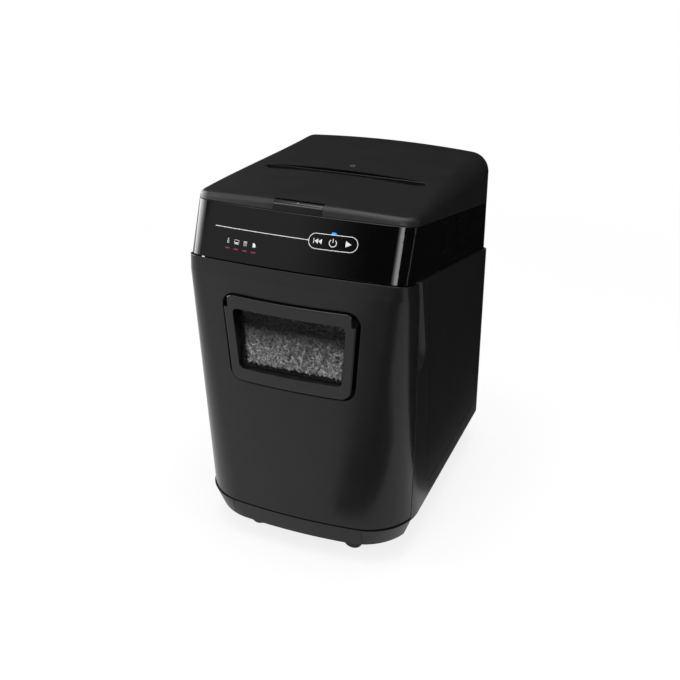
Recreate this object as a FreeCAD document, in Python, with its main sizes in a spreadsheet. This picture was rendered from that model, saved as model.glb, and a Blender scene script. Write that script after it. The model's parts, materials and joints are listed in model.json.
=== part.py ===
import FreeCAD, Part
import math
import os

import Sketcher

# Auto-feed paper shredder with a pull-out bin.
# Millimetres; +Z up; the front faces -Y; the origin is on the floor under the middle of the machine.

SIZES = {
    # the whole machine
    "body_width": 310, "body_depth": 410, "body_height": 507.5, "wall": 2.5, "seam_gap": 0.4, "seat_gap": 0.3,
    "panel_gap": 0.5, "rise_gap": 0.8, "edge_round": 0.8, "run_clear": 0.05, "fit_gap": 0.1,
    # outline seen from above
    "bow_radius": 762, "corner_radius": 75, "band_corner_radius": 25, "rear_radius": 25,
    # the sloping head: band between the cabinet and the lid
    "band_inset": 4, "band_step": 5, "band_tail": 2, "band_wall": 3, "band_height": 66, "band_setback": 28,
    "lid_rise": 12.5, "drop_rate": 0.234, "lean_rate": 0.422, "deck_thick": 3,
    # base
    "base_lift": 30, "base_depth": 28, "base_inset": 12, "base_step": 5, "base_tail": 8,
    "base_corner_radius": 60, "skirt_edge": 0.3, "skirt_corner_radius": 68, "skirt_tuck": 8, "skirt_lap": 2,
    "plate": 3, "base_rim": 11, "base_wall": 3, "wing_setback": 6, "skirt_seam_x": 98,
    "skirt_seam_width": 1, "skirt_seam_depth": 0.6, "rail_half": 100, "rail_width": 8,
    "rail_height": 3, "rail_end": 40,
    # side and rear panels
    "side_split": 35, "ledge": 3, "ledge_reach": 5, "screw_radius": 1.5, "screw_head": 3.5,
    "screw_inset": 6, "screw_length": 12, "screw_low": 32, "screw_high": 45, "screw_sunk": 1.8,
    "screw_head_thick": 1.6, "tab_depth": 8, "tab_margin": 20, "tab_half": 6, "tab_lap": 2,
    "scoop_radius": 30, "scoop_depth": 10, "scoop_drop": 141, "scoop_lean": 0.225, "scoop_setback": 8,
    "scoop_pad": 40, "scoop_back": 1, "scoop_margin": 8, "groove": 1.2, "groove_depth": 0.8,
    "groove_round": 14, "groove_low": 22, "groove_end": 34, "groove_start": 21, "groove_bend": 44,
    "groove_bend_drop": 111, "groove_side": 57, "groove_side_drop": 214, "air_slot_half": 70,
    "air_slot_height": 4, "air_slot_pitch": 9, "air_slot_count": 6, "air_slot_drop": 85,
    # bin
    "bin_wrap": 58, "bin_clear": 14, "bin_rear_clear": 16, "rim_drop": 8, "box_front_clear": 26,
    "box_corner": 13, "bevel_height": 20, "bevel_depth": 1.8, "front_lift": 2.5, "front_edge_round": 1, "top_edge_round": 0.6,
    "stud_low": 52, "stud_rise": 105, "stud_x": 118, "bin_stud_radius": 7, "heap_gap": 0.3, "heap_drop": 84,
    "heap_hump": 30, "hump_half": 60,
    # window, its frame with the grip, and the lens
    "window_drop": 43, "window_height": 126, "window_half_low": 88, "window_half_high": 97,
    "window_round": 18, "window_edge_round": 1.2, "grip_proud": 5, "frame_proud_low": 3.5, "frame_gap": 4,
    "frame_gap_low": 3, "frame_gap_top": 0.6, "frame_round": 15, "frame_back_gap": 0.2,
    "frame_edge_round": 1.4, "grip_height": 17.4, "grip_step": 5.7, "grip_step_depth": 12, "grip_thick": 9,
    "sill": 21, "bar_width": 11.5, "funnel": 3.5, "funnel_rise": 2, "funnel_depth": 16, "view_round": 7,
    "view_clear": 2, "pocket_depth": 16.5, "pocket_roof": 3, "lens_thick": 2.5, "lens_seat": 2.5,
    "lens_setback": 4.5, "lens_lean": 0.121, "lens_gap": 0.1,
    # lid
    "lid_edge": 9, "lid_rear_edge": 30, "lid_crown": 7, "lid_fall": 12.8, "lid_seam_round": 0.6,
    "liner_thick": 2, "liner_rise": 0.6, "liner_fit": 0.25, "slot_half": 119, "slot_offset": 181,
    "recess_width": 22, "recess_depth": 5, "recess_point": 14, "recess_slant": 6, "throat_width": 7,
    "throat_half": 114, "duct_wall": 2, "well_floor": 3, "well_wall": 4, "well_gap": 0.2,
    # hinge
    "hinge_setback": 7.2, "hinge_pin_radius": 2, "hinge_eye": 3.6, "hinge_half": 100, "hinge_width": 8,
    "hinge_arm": 12, "hinge_arm_low": 2.5, "hinge_arm_high": 8, "hinge_web": 12, "hinge_room": 5.2,
    "lid_open_angle": 50, "open_margin": 2,
    # latch
    "latch_half": 33, "latch_reach": 13, "latch_skin": 3, "latch_pin_radius": 1.5, "latch_pin_back": 3.5,
    "latch_pin_drop": 6.6, "latch_boss": 2.6, "latch_boss_half": 10, "latch_rise": 0.2, "spine_height": 6,
    "hook_drop": 20.5, "hook_half": 7, "hook_thick": 3.2, "hook_stem_back": 1.2, "hook_reach": 3.6,
    "hook_lip": 2.6, "cheek_x": 16, "cheek_thick": 3, "cheek_front": 2.4, "cheek_rear": 3.5,
    "cheek_top": 1.9, "latch_room": 12, "latch_room_rear": 4.5, "latch_room_front": 7, "liner_cut": 1.6,
    "keeper_half": 16, "keeper_gap": 1.8, "keeper_front": 8, "keeper_rear": 6, "keeper_thick": 2.2,
    # auto-feed tray and its pressure plate
    "tray_depth": 18, "tray_half": 112, "tray_thick": 2.5, "tray_start": 18, "tray_end": 49,
    "mouth_width": 34, "flange_drop": 0.5, "roller_gap": 1, "roller_slot_half": 12, "press_half": 48,
    "press_length": 56, "press_thick": 3, "press_drop": 7, "press_wall": 2, "press_rise": 4,
    "press_clear": 0.5, "cage_wall": 2.5, "cage_height": 23, "spring_x": 30, "spring_radius": 4,
    "spring_wire": 0.5, "spring_turns": 5, "spring_seat": 1.4, "spring_seat_height": 5.5,
    "spring_peg_gap": 1.2,
    # cutting unit
    "cutter_radius": 18, "cutter_overlap": 3, "cutter_disc": 3, "cutter_gap": 3.4, "cutter_half": 114,
    "cutter_core": 12.5, "cutter_shaft": 6, "cutter_lift": 9.4, "cutter_notch": 2.2, "notch_half": 1.4,
    "notch_count": 6, "notch_turn": 9, "plate_offset": 119, "plate_thick": 3, "plate_front": 90,
    "plate_rear": 110, "plate_gap": 3.3, "bush_wall": 2.5, "bush_proud": 0.5, "shaft_proud": 3,
    "tie_radius": 5, "tie_end_radius": 3, "tie_inset": 8, "tie_rise": 14, "comb_clear": 0.5, "comb_gap": 2,
    "comb_bar": 6, "comb_height": 16, "comb_side_gap": 0.3, "comb_finger": 8, "chute_gap": 1,
    "chute_margin": 2,
    # gear train
    "gear_width": 8, "gear_gap": 2, "large_width": 7, "plane_gap": 1, "cutter_teeth": 20, "large_module": 1,
    "large_teeth": 45, "small_teeth": 12, "pinion_teeth": 10, "idler_teeth": 18, "feed_teeth": 14,
    "stud_radius": 3, "stud_head": 1, "backlash": 0.12, "pressure_angle": 20, "tooth_tip": 0.92,
    "tooth_root": 1.15, "reduction_drop": 4, "pinion_drop": 12, "train_stretch": 0.946,
    # motor, fan and feed rollers
    "motor_radius": 21, "motor_length": 84, "motor_wall": 2.5, "motor_end": 4, "motor_shaft": 2.5,
    "motor_hole": 2, "armature_gap": 3, "armature_inset": 12, "foot_half": 9, "foot_inset": 20,
    "foot_lap": 2, "fan_gap": 2, "fan_hub": 5, "fan_width": 9, "fan_blade": 13, "fan_blade_width": 7,
    "fan_blade_thick": 1.2, "fan_blade_tilt": 25, "fan_count": 8, "roller_radius": 13, "roller_proud": 2.4,
    "roller_length": 22, "roller_offset": 28, "roller_groove": 0.8, "groove_pitch": 6,
    "feed_shaft_radius": 4,
    # boards and switches
    "board_thick": 1.6, "board_rise": 5, "board_half": 70, "board_start": 14, "board_end": 6,
    "part_height": 14, "board_foot": 2.5, "board_foot_inset": 5, "switch_gap": 3, "switch_half": 8,
    "switch_tall": 9, "lid_switch_x": 76, "lid_switch_start": 6.5, "lid_switch_end": 14.5,
    "bin_switch_x": 133, "bin_switch_half": 7, "bin_switch_tall": 13,
    # casters
    "wheel_radius": 15, "wheel_width": 12, "wheel_edge": 1.5, "caster_half": 79, "caster_setback": 42,
    "caster_tail": 55, "caster_trail": 6, "caster_turn_left": -55, "caster_turn_right": 90,
    "stem_radius": 4, "fork_head": 6, "fork_bridge": 3,
    "fork_thick": 2, "fork_half": 9, "fork_foot": 5, "fork_foot_drop": 4, "fork_clear": 0.4,
    "axle_radius": 2, "socket_wall": 2.5, "socket_drop": 0.5, "stem_gap": 2, "boss_wall": 4,
    # controls
    "capsule_x": 52.5, "capsule_height": 18, "row_rise": 38.5, "key_pitch": 19.5, "key_width": 17,
    "key_margin": 3, "key_clear": 0.25, "key_thick": 3, "key_gap": 0.5, "key_lip": 0.8, "key_flange": 1.4,
    "key_neck": 8, "key_stem": 3.2, "key_stem_width": 3, "key_travel": 0.8, "switch_width": 5,
    "switch_play": 0.1, "board_depth": 15.3, "board_low": 30, "board_high": 17, "board_side": 105,
    "pillar_x": 98, "pillar_rise": 12, "light_radius": 1.6, "light_rise": 2, "light_clear": 0.1,
    "light_depth": 6, "status_x": 71, "status_pitch": 12.7, "status_drop": 17.6, "status_width": 7,
    "status_height": 2, "hole_reach": 6, "hole_depth": 12,
    # rear
    "rear_control_x": 75, "gland_rise": 45, "gland_radius": 4.2, "gland_wall": 2.5, "gland_flange": 9,
    "gland_length": 8, "rocker_rise": 95, "rocker_width": 19, "rocker_height": 13, "rocker_rim": 1.5,
    "rocker_depth": 14, "rocker_floor": 2, "rocker_sunk": 0.4, "rocker_pivot": 5, "rocker_pin": 1.2,
    "rocker_pin_length": 0.9, "rocker_gap": 0.3, "rocker_tip_gap": 0.6, "rocker_front": 4.2,
    "rocker_slope": 1, "rocker_back": 3, "rocker_angle": 8,
    # air openings in the band
    "vent_length": 62, "vent_height": 44, "vent_gap": 10, "vent_start": 157, "vent_below": 6,
    "vent_rim": 2.5, "vent_fit": 0.15, "vent_thick": 2, "vent_recess": 0.6, "louvre": 2.4,
    "louvre_count": 8,
}

doc = FreeCAD.newDocument("paper_shredder")
sheet = doc.addObject("Spreadsheet::Sheet", "Sizes")
for row, (name, value) in enumerate(SIZES.items(), start=1):
    sheet.set(f"A{row}", name)
    sheet.set(f"B{row}", str(value))
    sheet.setAlias(f"B{row}", name)
doc.recompute()


class Size:
    """A size from the sheet, or a sum made of them: its number, and its text for an expression."""

    def __init__(self, value, text=None):
        self.value = float(value)
        self.text = text or repr(float(value))

    def join(self, other, sign, turned=False):
        left, right = (size(other), self) if turned else (self, size(other))
        a, b = left.value, right.value
        if sign == "+":
            result = a + b
        elif sign == "-":
            result = a - b
        elif sign == "*":
            result = a * b
        else:
            result = a / b
        return Size(result, f"({left.text} {sign} {right.text})")

    def __add__(self, other):
        return self.join(other, "+")

    def __radd__(self, other):
        return self.join(other, "+", True)

    def __sub__(self, other):
        return self.join(other, "-")

    def __rsub__(self, other):
        return self.join(other, "-", True)

    def __mul__(self, other):
        return self.join(other, "*")

    def __rmul__(self, other):
        return self.join(other, "*", True)

    def __truediv__(self, other):
        return self.join(other, "/")

    def __neg__(self):
        return self.join(-1, "*")

    def __float__(self):
        return self.value


def size(value):
    return value if isinstance(value, Size) else Size(value)


class Sizes:
    """The sheet's sizes by name."""


S = Sizes()
for name in SIZES:
    setattr(S, name, Size(sheet.get(name), f"Sizes.{name}"))

# ---------------------------------------------------------------- places that several pieces share

half = S.body_width / 2
rear = S.body_depth / 2
front = S.grip_proud - rear
gap_line = front + S.bin_wrap
band_half = half - S.band_inset
band_front = front + S.band_step
band_rear = rear - S.band_tail
seam_front = band_front + S.band_setback
seam_height = S.body_height - S.lid_rise
band_low = seam_height - S.band_height
base_top = S.base_lift + S.base_depth
plate_low = base_top - S.plate
slot_y = band_front + S.slot_offset
slope_angle = math.degrees(math.atan(S.drop_rate.value))
REACH = 1200


def seam_at(y):
    """Height of the seam between the band and the lid; it falls towards the rear."""
    return seam_height - S.drop_rate * (y - seam_front)


def deck_at(y):
    """Height of the band's lower edge, parallel to the seam."""
    return band_low - S.drop_rate * (y - band_front)


def tray_at(y):
    """Height of the auto-feed tray's floor, parallel to the seam."""
    return seam_at(y) - S.tray_depth


# ---------------------------------------------------------------- document helpers

nodes = []


def keep(label, thing):
    thing.Label = label
    nodes.append(thing)
    return thing


def bind(thing, **values):
    for name, value in values.items():
        thing.setExpression(name, size(value).text)
    return thing


def place(thing, x=0, y=0, z=0):
    for axis, value in (("x", x), ("y", y), ("z", z)):
        thing.setExpression(f"Placement.Base.{axis}", size(value).text)
    return thing


def box(x, y, z):
    """A block between the pairs x, y and z."""
    solid = doc.addObject("Part::Box", "box")
    bind(solid, Length=x[1] - x[0], Width=y[1] - y[0], Height=z[1] - z[0])
    return place(solid, x[0], y[0], z[0])


TURNS = {"x": FreeCAD.Rotation(0, 90, 0), "y": FreeCAD.Rotation(0, 0, -90), "z": FreeCAD.Rotation()}


def rod(axis, x, y, z, radius, length):
    """A cylinder that starts at x, y, z and runs along +axis."""
    solid = doc.addObject("Part::Cylinder", "rod")
    solid.Placement = FreeCAD.Placement(FreeCAD.Vector(), TURNS[axis])
    bind(solid, Radius=radius, Height=length)
    return place(solid, x, y, z)


def joined(parts):
    union = doc.addObject("Part::MultiFuse", "joined")
    union.Shapes = parts
    return union


def less(base, tools):
    """The base without its tools, all of them document objects."""
    result = doc.addObject("Part::Cut", "less")
    result.Base = base
    result.Tool = joined(tools) if len(tools) > 1 else tools[0]
    return result


def group(label, parts):
    """Separate solids of one kind in one node."""
    compound = doc.addObject("Part::Compound", label)
    compound.Links = parts
    return keep(label, compound)


def shaped(label, shape):
    """A piece whose faces neither sketches nor primitives give."""
    feature = doc.addObject("Part::Feature", label)
    feature.Shape = shape
    return keep(label, feature)


PLANES = {"xy": ("XY_Plane", 1), "xz": ("XZ_Plane", -1), "yz": ("YZ_Plane", 1)}


class Piece:
    """A PartDesign body built from sketches on its own origin planes."""

    def __init__(self, label):
        self.body = doc.addObject("PartDesign::Body", label)
        keep(label, self.body)
        self.count = 0

    def sketch(self, plane, offset):
        role, side = PLANES[plane]
        self.count += 1
        drawing = self.body.newObject("Sketcher::SketchObject", f"{self.body.Name}_sketch{self.count}")
        support = next(f for f in self.body.Origin.OriginFeatures if f.Role == role)
        drawing.AttachmentSupport = [(support, "")]
        drawing.MapMode = "FlatFace"
        drawing.setExpression("AttachmentOffset.Base.z", (size(offset) * side).text)
        return drawing

    def hold(self, drawing, kind, target, value):
        """A dimension bound to a size."""
        value = size(value)
        index = drawing.addConstraint(Sketcher.Constraint(kind, *target, value.value))
        drawing.setExpression(f"Constraints[{index}]", value.text)

    def polygon(self, drawing, points):
        """A closed outline whose corners are held by distances from the origin."""
        corners = [FreeCAD.Vector(float(size(u)), float(size(v)), 0) for u, v in points]
        first = drawing.GeometryCount
        for start, end in zip(corners, corners[1:] + corners[:1]):
            drawing.addGeometry(Part.LineSegment(start, end), False)
        for step, (u, v) in enumerate(points):
            edge = first + step
            after = first + (step + 1) % len(points)
            drawing.addConstraint(Sketcher.Constraint("Coincident", edge, 2, after, 1))
            self.hold(drawing, "DistanceX", (-1, 1, edge, 1), u)
            self.hold(drawing, "DistanceY", (-1, 1, edge, 1), v)

    def circle(self, drawing, u, v, radius):
        centre = FreeCAD.Vector(float(size(u)), float(size(v)), 0)
        ring = Part.Circle(centre, FreeCAD.Vector(0, 0, 1), float(size(radius)))
        edge = drawing.addGeometry(ring, False)
        self.hold(drawing, "DistanceX", (-1, 1, edge, 3), u)
        self.hold(drawing, "DistanceY", (-1, 1, edge, 3), v)
        self.hold(drawing, "Radius", (edge,), radius)

    def draw(self, plane, offset, outlines):
        drawing = self.sketch(plane, offset)
        for outline in outlines:
            if len(outline) == 3 and not isinstance(outline[0], tuple):
                self.circle(drawing, *outline)
            else:
                self.polygon(drawing, outline)
        return drawing

    def pad(self, plane, span, *outlines):
        """Adds the outlines between the two places of span along the plane's normal."""
        low, high = span
        drawing = self.draw(plane, high if plane == "xz" else low, outlines)
        feature = self.body.newObject("PartDesign::Pad", f"{self.body.Name}_pad{self.count}")
        feature.Profile = drawing
        bind(feature, Length=size(high) - low)
        doc.recompute()
        return self

    def pocket(self, plane, span, *outlines):
        """Removes the outlines between the two places of span; raises where nothing is cut."""
        low, high = span
        before = self.body.Shape.Volume
        drawing = self.draw(plane, low if plane == "xz" else high, outlines)
        feature = self.body.newObject("PartDesign::Pocket", f"{self.body.Name}_pocket{self.count}")
        feature.Profile = drawing
        bind(feature, Length=size(high) - low)
        doc.recompute()
        if self.body.Shape.Volume > before - 1e-3:
            raise RuntimeError(f"{self.body.Label}: a pocket cut nothing")
        return self

    def revolve(self, axis, *outlines):
        """Turns outlines of the XY plane about one of its axes."""
        drawing = self.draw("xy", 0, outlines)
        feature = self.body.newObject("PartDesign::Revolution", f"{self.body.Name}_turned{self.count}")
        feature.Profile = drawing
        feature.ReferenceAxis = (drawing, [axis])
        doc.recompute()
        return self

    def at(self, x=0, y=0, z=0, turn=0):
        """Moves the body, turned round Z by turn degrees."""
        self.body.Placement = FreeCAD.Placement(V(), FreeCAD.Rotation(V(0, 0, 1), turn))
        place(self.body, x, y, z)
        return self


def rectangle(u, v):
    return [(u[0], v[0]), (u[1], v[0]), (u[1], v[1]), (u[0], v[1])]


def both(reach, middle=0):
    """The pair of places at a reach either side of a middle."""
    return (middle - reach, middle + reach)


# ---------------------------------------------------------------- solids built in code

V = FreeCAD.Vector
TALL = (0, REACH)
WIDE = (-REACH / 2, REACH / 2)


def block(x, y, z):
    """A plain block from pairs of sizes."""
    x, y, z = [[float(size(v)) for v in pair] for pair in (x, y, z)]
    return Part.makeBox(x[1] - x[0], y[1] - y[0], z[1] - z[0], V(x[0], y[0], z[0]))


def post(axis, x, y, z, radius, length):
    """A plain cylinder that starts at x, y, z and runs along +axis."""
    direction = {"x": V(1, 0, 0), "y": V(0, 1, 0), "z": V(0, 0, 1)}[axis]
    start = V(float(size(x)), float(size(y)), float(size(z)))
    return Part.makeCylinder(float(size(radius)), float(size(length)), start, direction)


def prism(plane, corners, start, length):
    """A flat outline of the XZ or XY plane, moved to start and drawn out by length along the third axis."""
    flat = {"xz": lambda u, v: V(u, start, v), "xy": lambda u, v: V(u, v, start)}[plane]
    along = {"xz": V(0, length, 0), "xy": V(0, 0, length)}[plane]
    points = [flat(float(size(u)), float(size(v))) for u, v in corners]
    return Part.Face(Part.makePolygon(points + points[:1])).extrude(along)


def rounded(points, radius):
    """A face in the XZ plane through the points, with its corners rounded."""
    edges = []
    count = len(points)
    for index in range(count):
        before, here, after = [V(float(points[k % count][0]), 0, float(points[k % count][1]))
                               for k in (index - 1, index, index + 1)]
        into = (before - here).normalize()
        out = (after - here).normalize()
        half_angle = into.getAngle(out) / 2
        trim = radius / math.tan(half_angle)
        centre = here + (into + out).normalize() * (radius / math.sin(half_angle))
        middle = centre + (here - centre).normalize() * radius
        edges.append((here + into * trim, middle, here + out * trim))
    wire = []
    for index, (start, middle, end) in enumerate(edges):
        wire.append(Part.Arc(start, middle, end).toShape())
        wire.append(Part.makeLine(end, edges[(index + 1) % count][0]))
    return Part.Face(Part.Wire(wire))


def slab(face, low, high):
    """An upright face of the XZ plane made solid between two places along Y."""
    face = face.copy()
    face.translate(V(0, float(size(low)), 0))
    return face.extrude(V(0, float(size(high - low)), 0))


def middle_of(edge):
    return edge.valueAt((edge.FirstParameter + edge.LastParameter) / 2)


def eased(shape, radius, accept):
    """The shape with every edge rounded whose middle point is accepted."""
    edges = [edge for edge in shape.Edges if accept(middle_of(edge))]
    result = shape.makeFillet(radius, edges)
    if not result.isValid():
        raise RuntimeError("a rounded edge failed")
    return result


NEAR = 0.02


def on_deck(point, rise=0.0):
    return abs(deck_at(point.y).value + rise - point.z) < NEAR


def on_seam(point, rise=0.0):
    return abs(seam_at(point.y).value + rise - point.z) < NEAR


# ---------------------------------------------------------------- outer skins


def outline(side, nose, tail, corner, tail_corner, bow, height):
    """The machine's outline seen from above: bowed front, rounded corners, straight sides and rear."""
    bow_centre = nose + bow
    corner_x = side - corner
    corner_y = bow_centre - math.sqrt((bow - corner) ** 2 - corner_x ** 2)
    reach = bow / (bow - corner)
    tangent = V(corner_x * reach, bow_centre + (corner_y - bow_centre) * reach, height)
    middle = math.atan2(tangent.y - corner_y, tangent.x - corner_x) / 2
    bend = V(corner_x + corner * math.cos(middle), corner_y + corner * math.sin(middle), height)
    turn = tail_corner * (1 - math.sqrt(0.5))
    right = [tangent, bend, V(side, corner_y, height), V(side, tail - tail_corner, height),
             V(side - turn, tail - turn, height), V(side - tail_corner, tail, height)]
    left = [V(-p.x, p.y, p.z) for p in right]
    edges = [
        Part.Arc(left[0], V(0, nose, height), right[0]).toShape(),
        Part.Arc(right[0], right[1], right[2]).toShape(),
        Part.makeLine(right[2], right[3]),
        Part.Arc(right[3], right[4], right[5]).toShape(),
        Part.makeLine(right[5], left[5]),
        Part.Arc(left[5], left[4], left[3]).toShape(),
        Part.makeLine(left[3], left[2]),
        Part.Arc(left[2], left[1], left[0]).toShape(),
    ]
    return Part.Wire(edges)


def corner_at(height):
    """Radius of the cabinet's front corners, which tighten from the base up to the band."""
    share = (height - base_top.value) / (band_low.value - base_top.value)
    return S.corner_radius.value + (S.band_corner_radius - S.corner_radius).value * share


def cabinet_block(inset, low=None, high=None):
    """The cabinet's upright outline set in by inset, between two heights."""
    inset = float(size(inset))
    low = float(size(low if low is not None else S.base_lift))
    high = float(size(high if high is not None else seam_height))
    wires = []
    for height in (low, high):
        wires.append(outline(half.value - inset, front.value + inset, rear.value - inset,
                             corner_at(height) - inset, S.rear_radius.value - inset,
                             S.bow_radius.value - inset, height))
    return Part.makeLoft(wires, True, True)


def head_block(inset, top=None):
    """The band's outline set in by inset, from low in the cabinet to top; its front leans back as it rises."""
    inset = float(size(inset))
    low = deck_at(rear).value - S.band_height.value
    high = float(size(top if top is not None else S.body_height + S.band_height))
    tail_radius = S.rear_radius - S.band_tail
    wires = []
    for height in (low, high):
        nose = band_front.value + S.lean_rate.value * (height - band_low.value) + inset
        wires.append(outline(band_half.value - inset, nose, band_rear.value - inset,
                             S.band_corner_radius.value - inset, tail_radius.value - inset,
                             S.bow_radius.value - inset, height))
    return Part.makeLoft(wires, True, True)


def beyond(y, z, angle, up=True):
    """Half of space above or below a plane along X through y, z that falls by angle towards the rear."""
    solid = Part.makeBox(REACH, REACH, REACH, V(-REACH / 2, -REACH / 2, 0 if up else -REACH))
    solid.rotate(V(), V(1, 0, 0), -angle)
    solid.translate(V(0, y, z))
    return solid


def above_deck(rise=0.0):
    return beyond(band_front.value, band_low.value + float(size(rise)), slope_angle)


def below_deck(rise=0.0):
    return beyond(band_front.value, band_low.value + float(size(rise)), slope_angle, up=False)


def above_seam(rise=0.0):
    return beyond(seam_front.value, seam_height.value + float(size(rise)), slope_angle)


def below_seam(rise=0.0):
    return beyond(seam_front.value, seam_height.value + float(size(rise)), slope_angle, up=False)


# ---------------------------------------------------------------- casters' places

fork_top = S.wheel_radius * 2 + S.fork_head
socket_radius = S.stem_radius + S.run_clear + S.socket_wall


def caster_places():
    """Each caster's corner, and where its stem stands."""
    front_y = front + S.caster_setback
    rear_y = rear - S.caster_tail
    return [("front_left", -S.caster_half, front_y), ("front_right", S.caster_half, front_y),
            ("rear_left", -S.caster_half, rear_y), ("rear_right", S.caster_half, rear_y)]


# ---------------------------------------------------------------- base and cabinet


def footprint(inset, low, high):
    """The base's outline seen from above set in by inset, between two heights."""
    inset = float(size(inset))
    side = half.value - S.base_inset.value - inset
    nose = front.value + S.base_step.value + inset
    tail = rear.value - S.base_tail.value - inset
    wires = []
    for height in (low, high):
        wires.append(outline(side, nose, tail, S.base_corner_radius.value - inset, S.rear_radius.value - inset,
                             S.bow_radius.value - inset, float(size(height))))
    return Part.makeLoft(wires, True, True)


def skirt_block(inset):
    """The front skirt's outline set in by inset: flush with the cabinet at its top, and tucked in below."""
    inset = float(size(inset))
    levels = [(S.base_lift, S.skirt_tuck, S.base_step, S.corner_radius),
              (base_top, S.skirt_edge, S.skirt_edge, S.skirt_corner_radius)]
    wires = []
    for height, tuck, step, corner in levels:
        wires.append(outline((half - tuck).value - inset, (front + step).value + inset, rear.value,
                             corner.value - inset, S.rear_radius.value, S.bow_radius.value - inset,
                             height.value))
    return Part.makeLoft(wires, True, True)


def base_tray():
    """Floor plate with a rim below it, a deeper skirt in front, caster bosses and two bin rails."""
    skirt = skirt_block(0)
    skin = skirt.cut(skirt_block(S.skirt_seam_depth))
    for x in both(S.skirt_seam_x):
        skirt = skirt.cut(skin.common(block(both(S.skirt_seam_width / 2, x), (front, gap_line), TALL)))
    skirt = skirt.common(block(WIDE, (front, gap_line), TALL))
    rim = footprint(0, plate_low - S.base_rim, base_top)
    rim = rim.common(block(WIDE, (gap_line - S.skirt_lap, rear), TALL))
    hollow = skirt_block(S.base_wall).common(block(WIDE, (front, gap_line - S.base_wall), (0, plate_low)))
    body = rim.fuse(skirt).cut(footprint(S.base_wall, 0, plate_low)).cut(hollow)
    wings = block(WIDE, (gap_line + S.wing_setback, rear - S.rear_radius), (plate_low, base_top))
    body = body.fuse(wings.common(cabinet_block(S.wall)))
    for _, x, y in caster_places():
        boss = post("z", x, y, fork_top + S.socket_drop, socket_radius + S.boss_wall, plate_low - fork_top)
        body = body.fuse(boss).cut(post("z", x, y, fork_top, socket_radius, plate_low - fork_top))
    for x in both(S.rail_half):
        rail = block(both(S.rail_width / 2, x), (front + S.rail_end, rear - S.rail_end),
                     (base_top, base_top + S.rail_height))
        body = body.fuse(rail)
    return body.removeSplitter()


shaped("base_tray", base_tray())

scoop_low = band_low - S.scoop_drop
screw_x = half - S.side_split - S.screw_inset
screw_low = base_top + S.screw_low
screw_high = deck_at(rear) - S.screw_high
screw_heights = (screw_low, (screw_low + screw_high) / 2, screw_high)


def cabinet_shell():
    """The cabinet's upright walls, from the base's plate upwards."""
    return cabinet_block(0, plate_low).cut(cabinet_block(S.wall))


def scoop_tool():
    """A leaning round bar with a ball end that hollows the right panel for the fingers."""
    radius = S.scoop_radius.value
    sunk = radius - S.scoop_depth.value
    low = scoop_low.value + math.sqrt(radius ** 2 - sunk ** 2)
    start = V(half.value + sunk, gap_line.value + S.scoop_setback.value, low)
    way = V(0, -S.scoop_lean.value, 1) * (seam_height.value - low)
    return Part.makeCylinder(radius, way.Length, start, way).fuse(Part.makeSphere(radius, start))


def groove_tool():
    """A shallow groove that outlines the right panel's middle and runs out under the band."""
    low = base_top + S.groove_low
    end = rear - S.groove_end
    side = gap_line + S.groove_side
    border = rounded([(gap_line + S.groove_start, seam_height + S.band_height),
                      (gap_line + S.groove_bend, band_low - S.groove_bend_drop),
                      (side, band_low - S.groove_side_drop), (side, low), (end, low),
                      (end, seam_height + S.band_height)], S.groove_round.value)
    border.rotate(V(), V(0, 0, 1), 90)
    ring = border.cut(border.makeOffset2D(-S.groove.value))
    depth = S.groove_depth.value
    ring.translate(V(half.value - depth - ring.BoundBox.XMin, 0, 0))
    return ring.extrude(V(2 * depth, 0, 0))


def side_panel(sign):
    """One side with its rounded rear corner, a ledge for the head, the scoop and the groove."""
    ledge = cabinet_block(S.wall / 2, plate_low).cut(cabinet_block(S.band_inset + S.ledge_reach))
    ledge = ledge.common(above_deck(-S.seat_gap - S.ledge))
    pad = block((half - S.scoop_depth - S.wall - S.scoop_back, half - S.wall / 2),
                (gap_line, gap_line + S.scoop_pad), (scoop_low - S.scoop_margin, seam_height))
    start = gap_line + S.panel_gap
    room = block((half - S.side_split, half + S.wall), (start, rear + S.wall), TALL)
    room = room.common(below_deck(-S.seat_gap))
    outer = eased(cabinet_block(0, plate_low).common(room), S.edge_round.value,
                  lambda p: abs(p.y - start.value) < NEAR and p.x > half.value - S.side_split.value / 2)
    panel = outer.cut(cabinet_block(S.wall)).fuse(ledge.fuse(pad).common(room))
    panel = panel.cut(scoop_tool()).cut(groove_tool())
    tab = block((screw_x - S.tab_half, half - S.side_split + S.tab_lap), (rear - S.tab_depth, rear - S.wall),
                (screw_low - S.tab_margin, screw_high + S.tab_margin))
    panel = panel.fuse(tab)
    for z in screw_heights:
        panel = panel.cut(post("y", screw_x, rear - S.screw_length, z, S.screw_radius, S.screw_length))
    if sign < 0:
        panel = panel.mirror(V(), V(1, 0, 0))
    return panel.removeSplitter()


shaped("side_panel_left", side_panel(-1))
shaped("side_panel_right", side_panel(1))

rear_x = half - S.rear_control_x
gland_z = base_top + S.gland_rise
rocker_z = base_top + S.rocker_rise
gland_outer = S.gland_radius + S.gland_wall
rocker_frame_x = both(S.rocker_width / 2 + S.rocker_rim, rear_x)
rocker_frame_z = both(S.rocker_height / 2 + S.rocker_rim, rocker_z)


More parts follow.
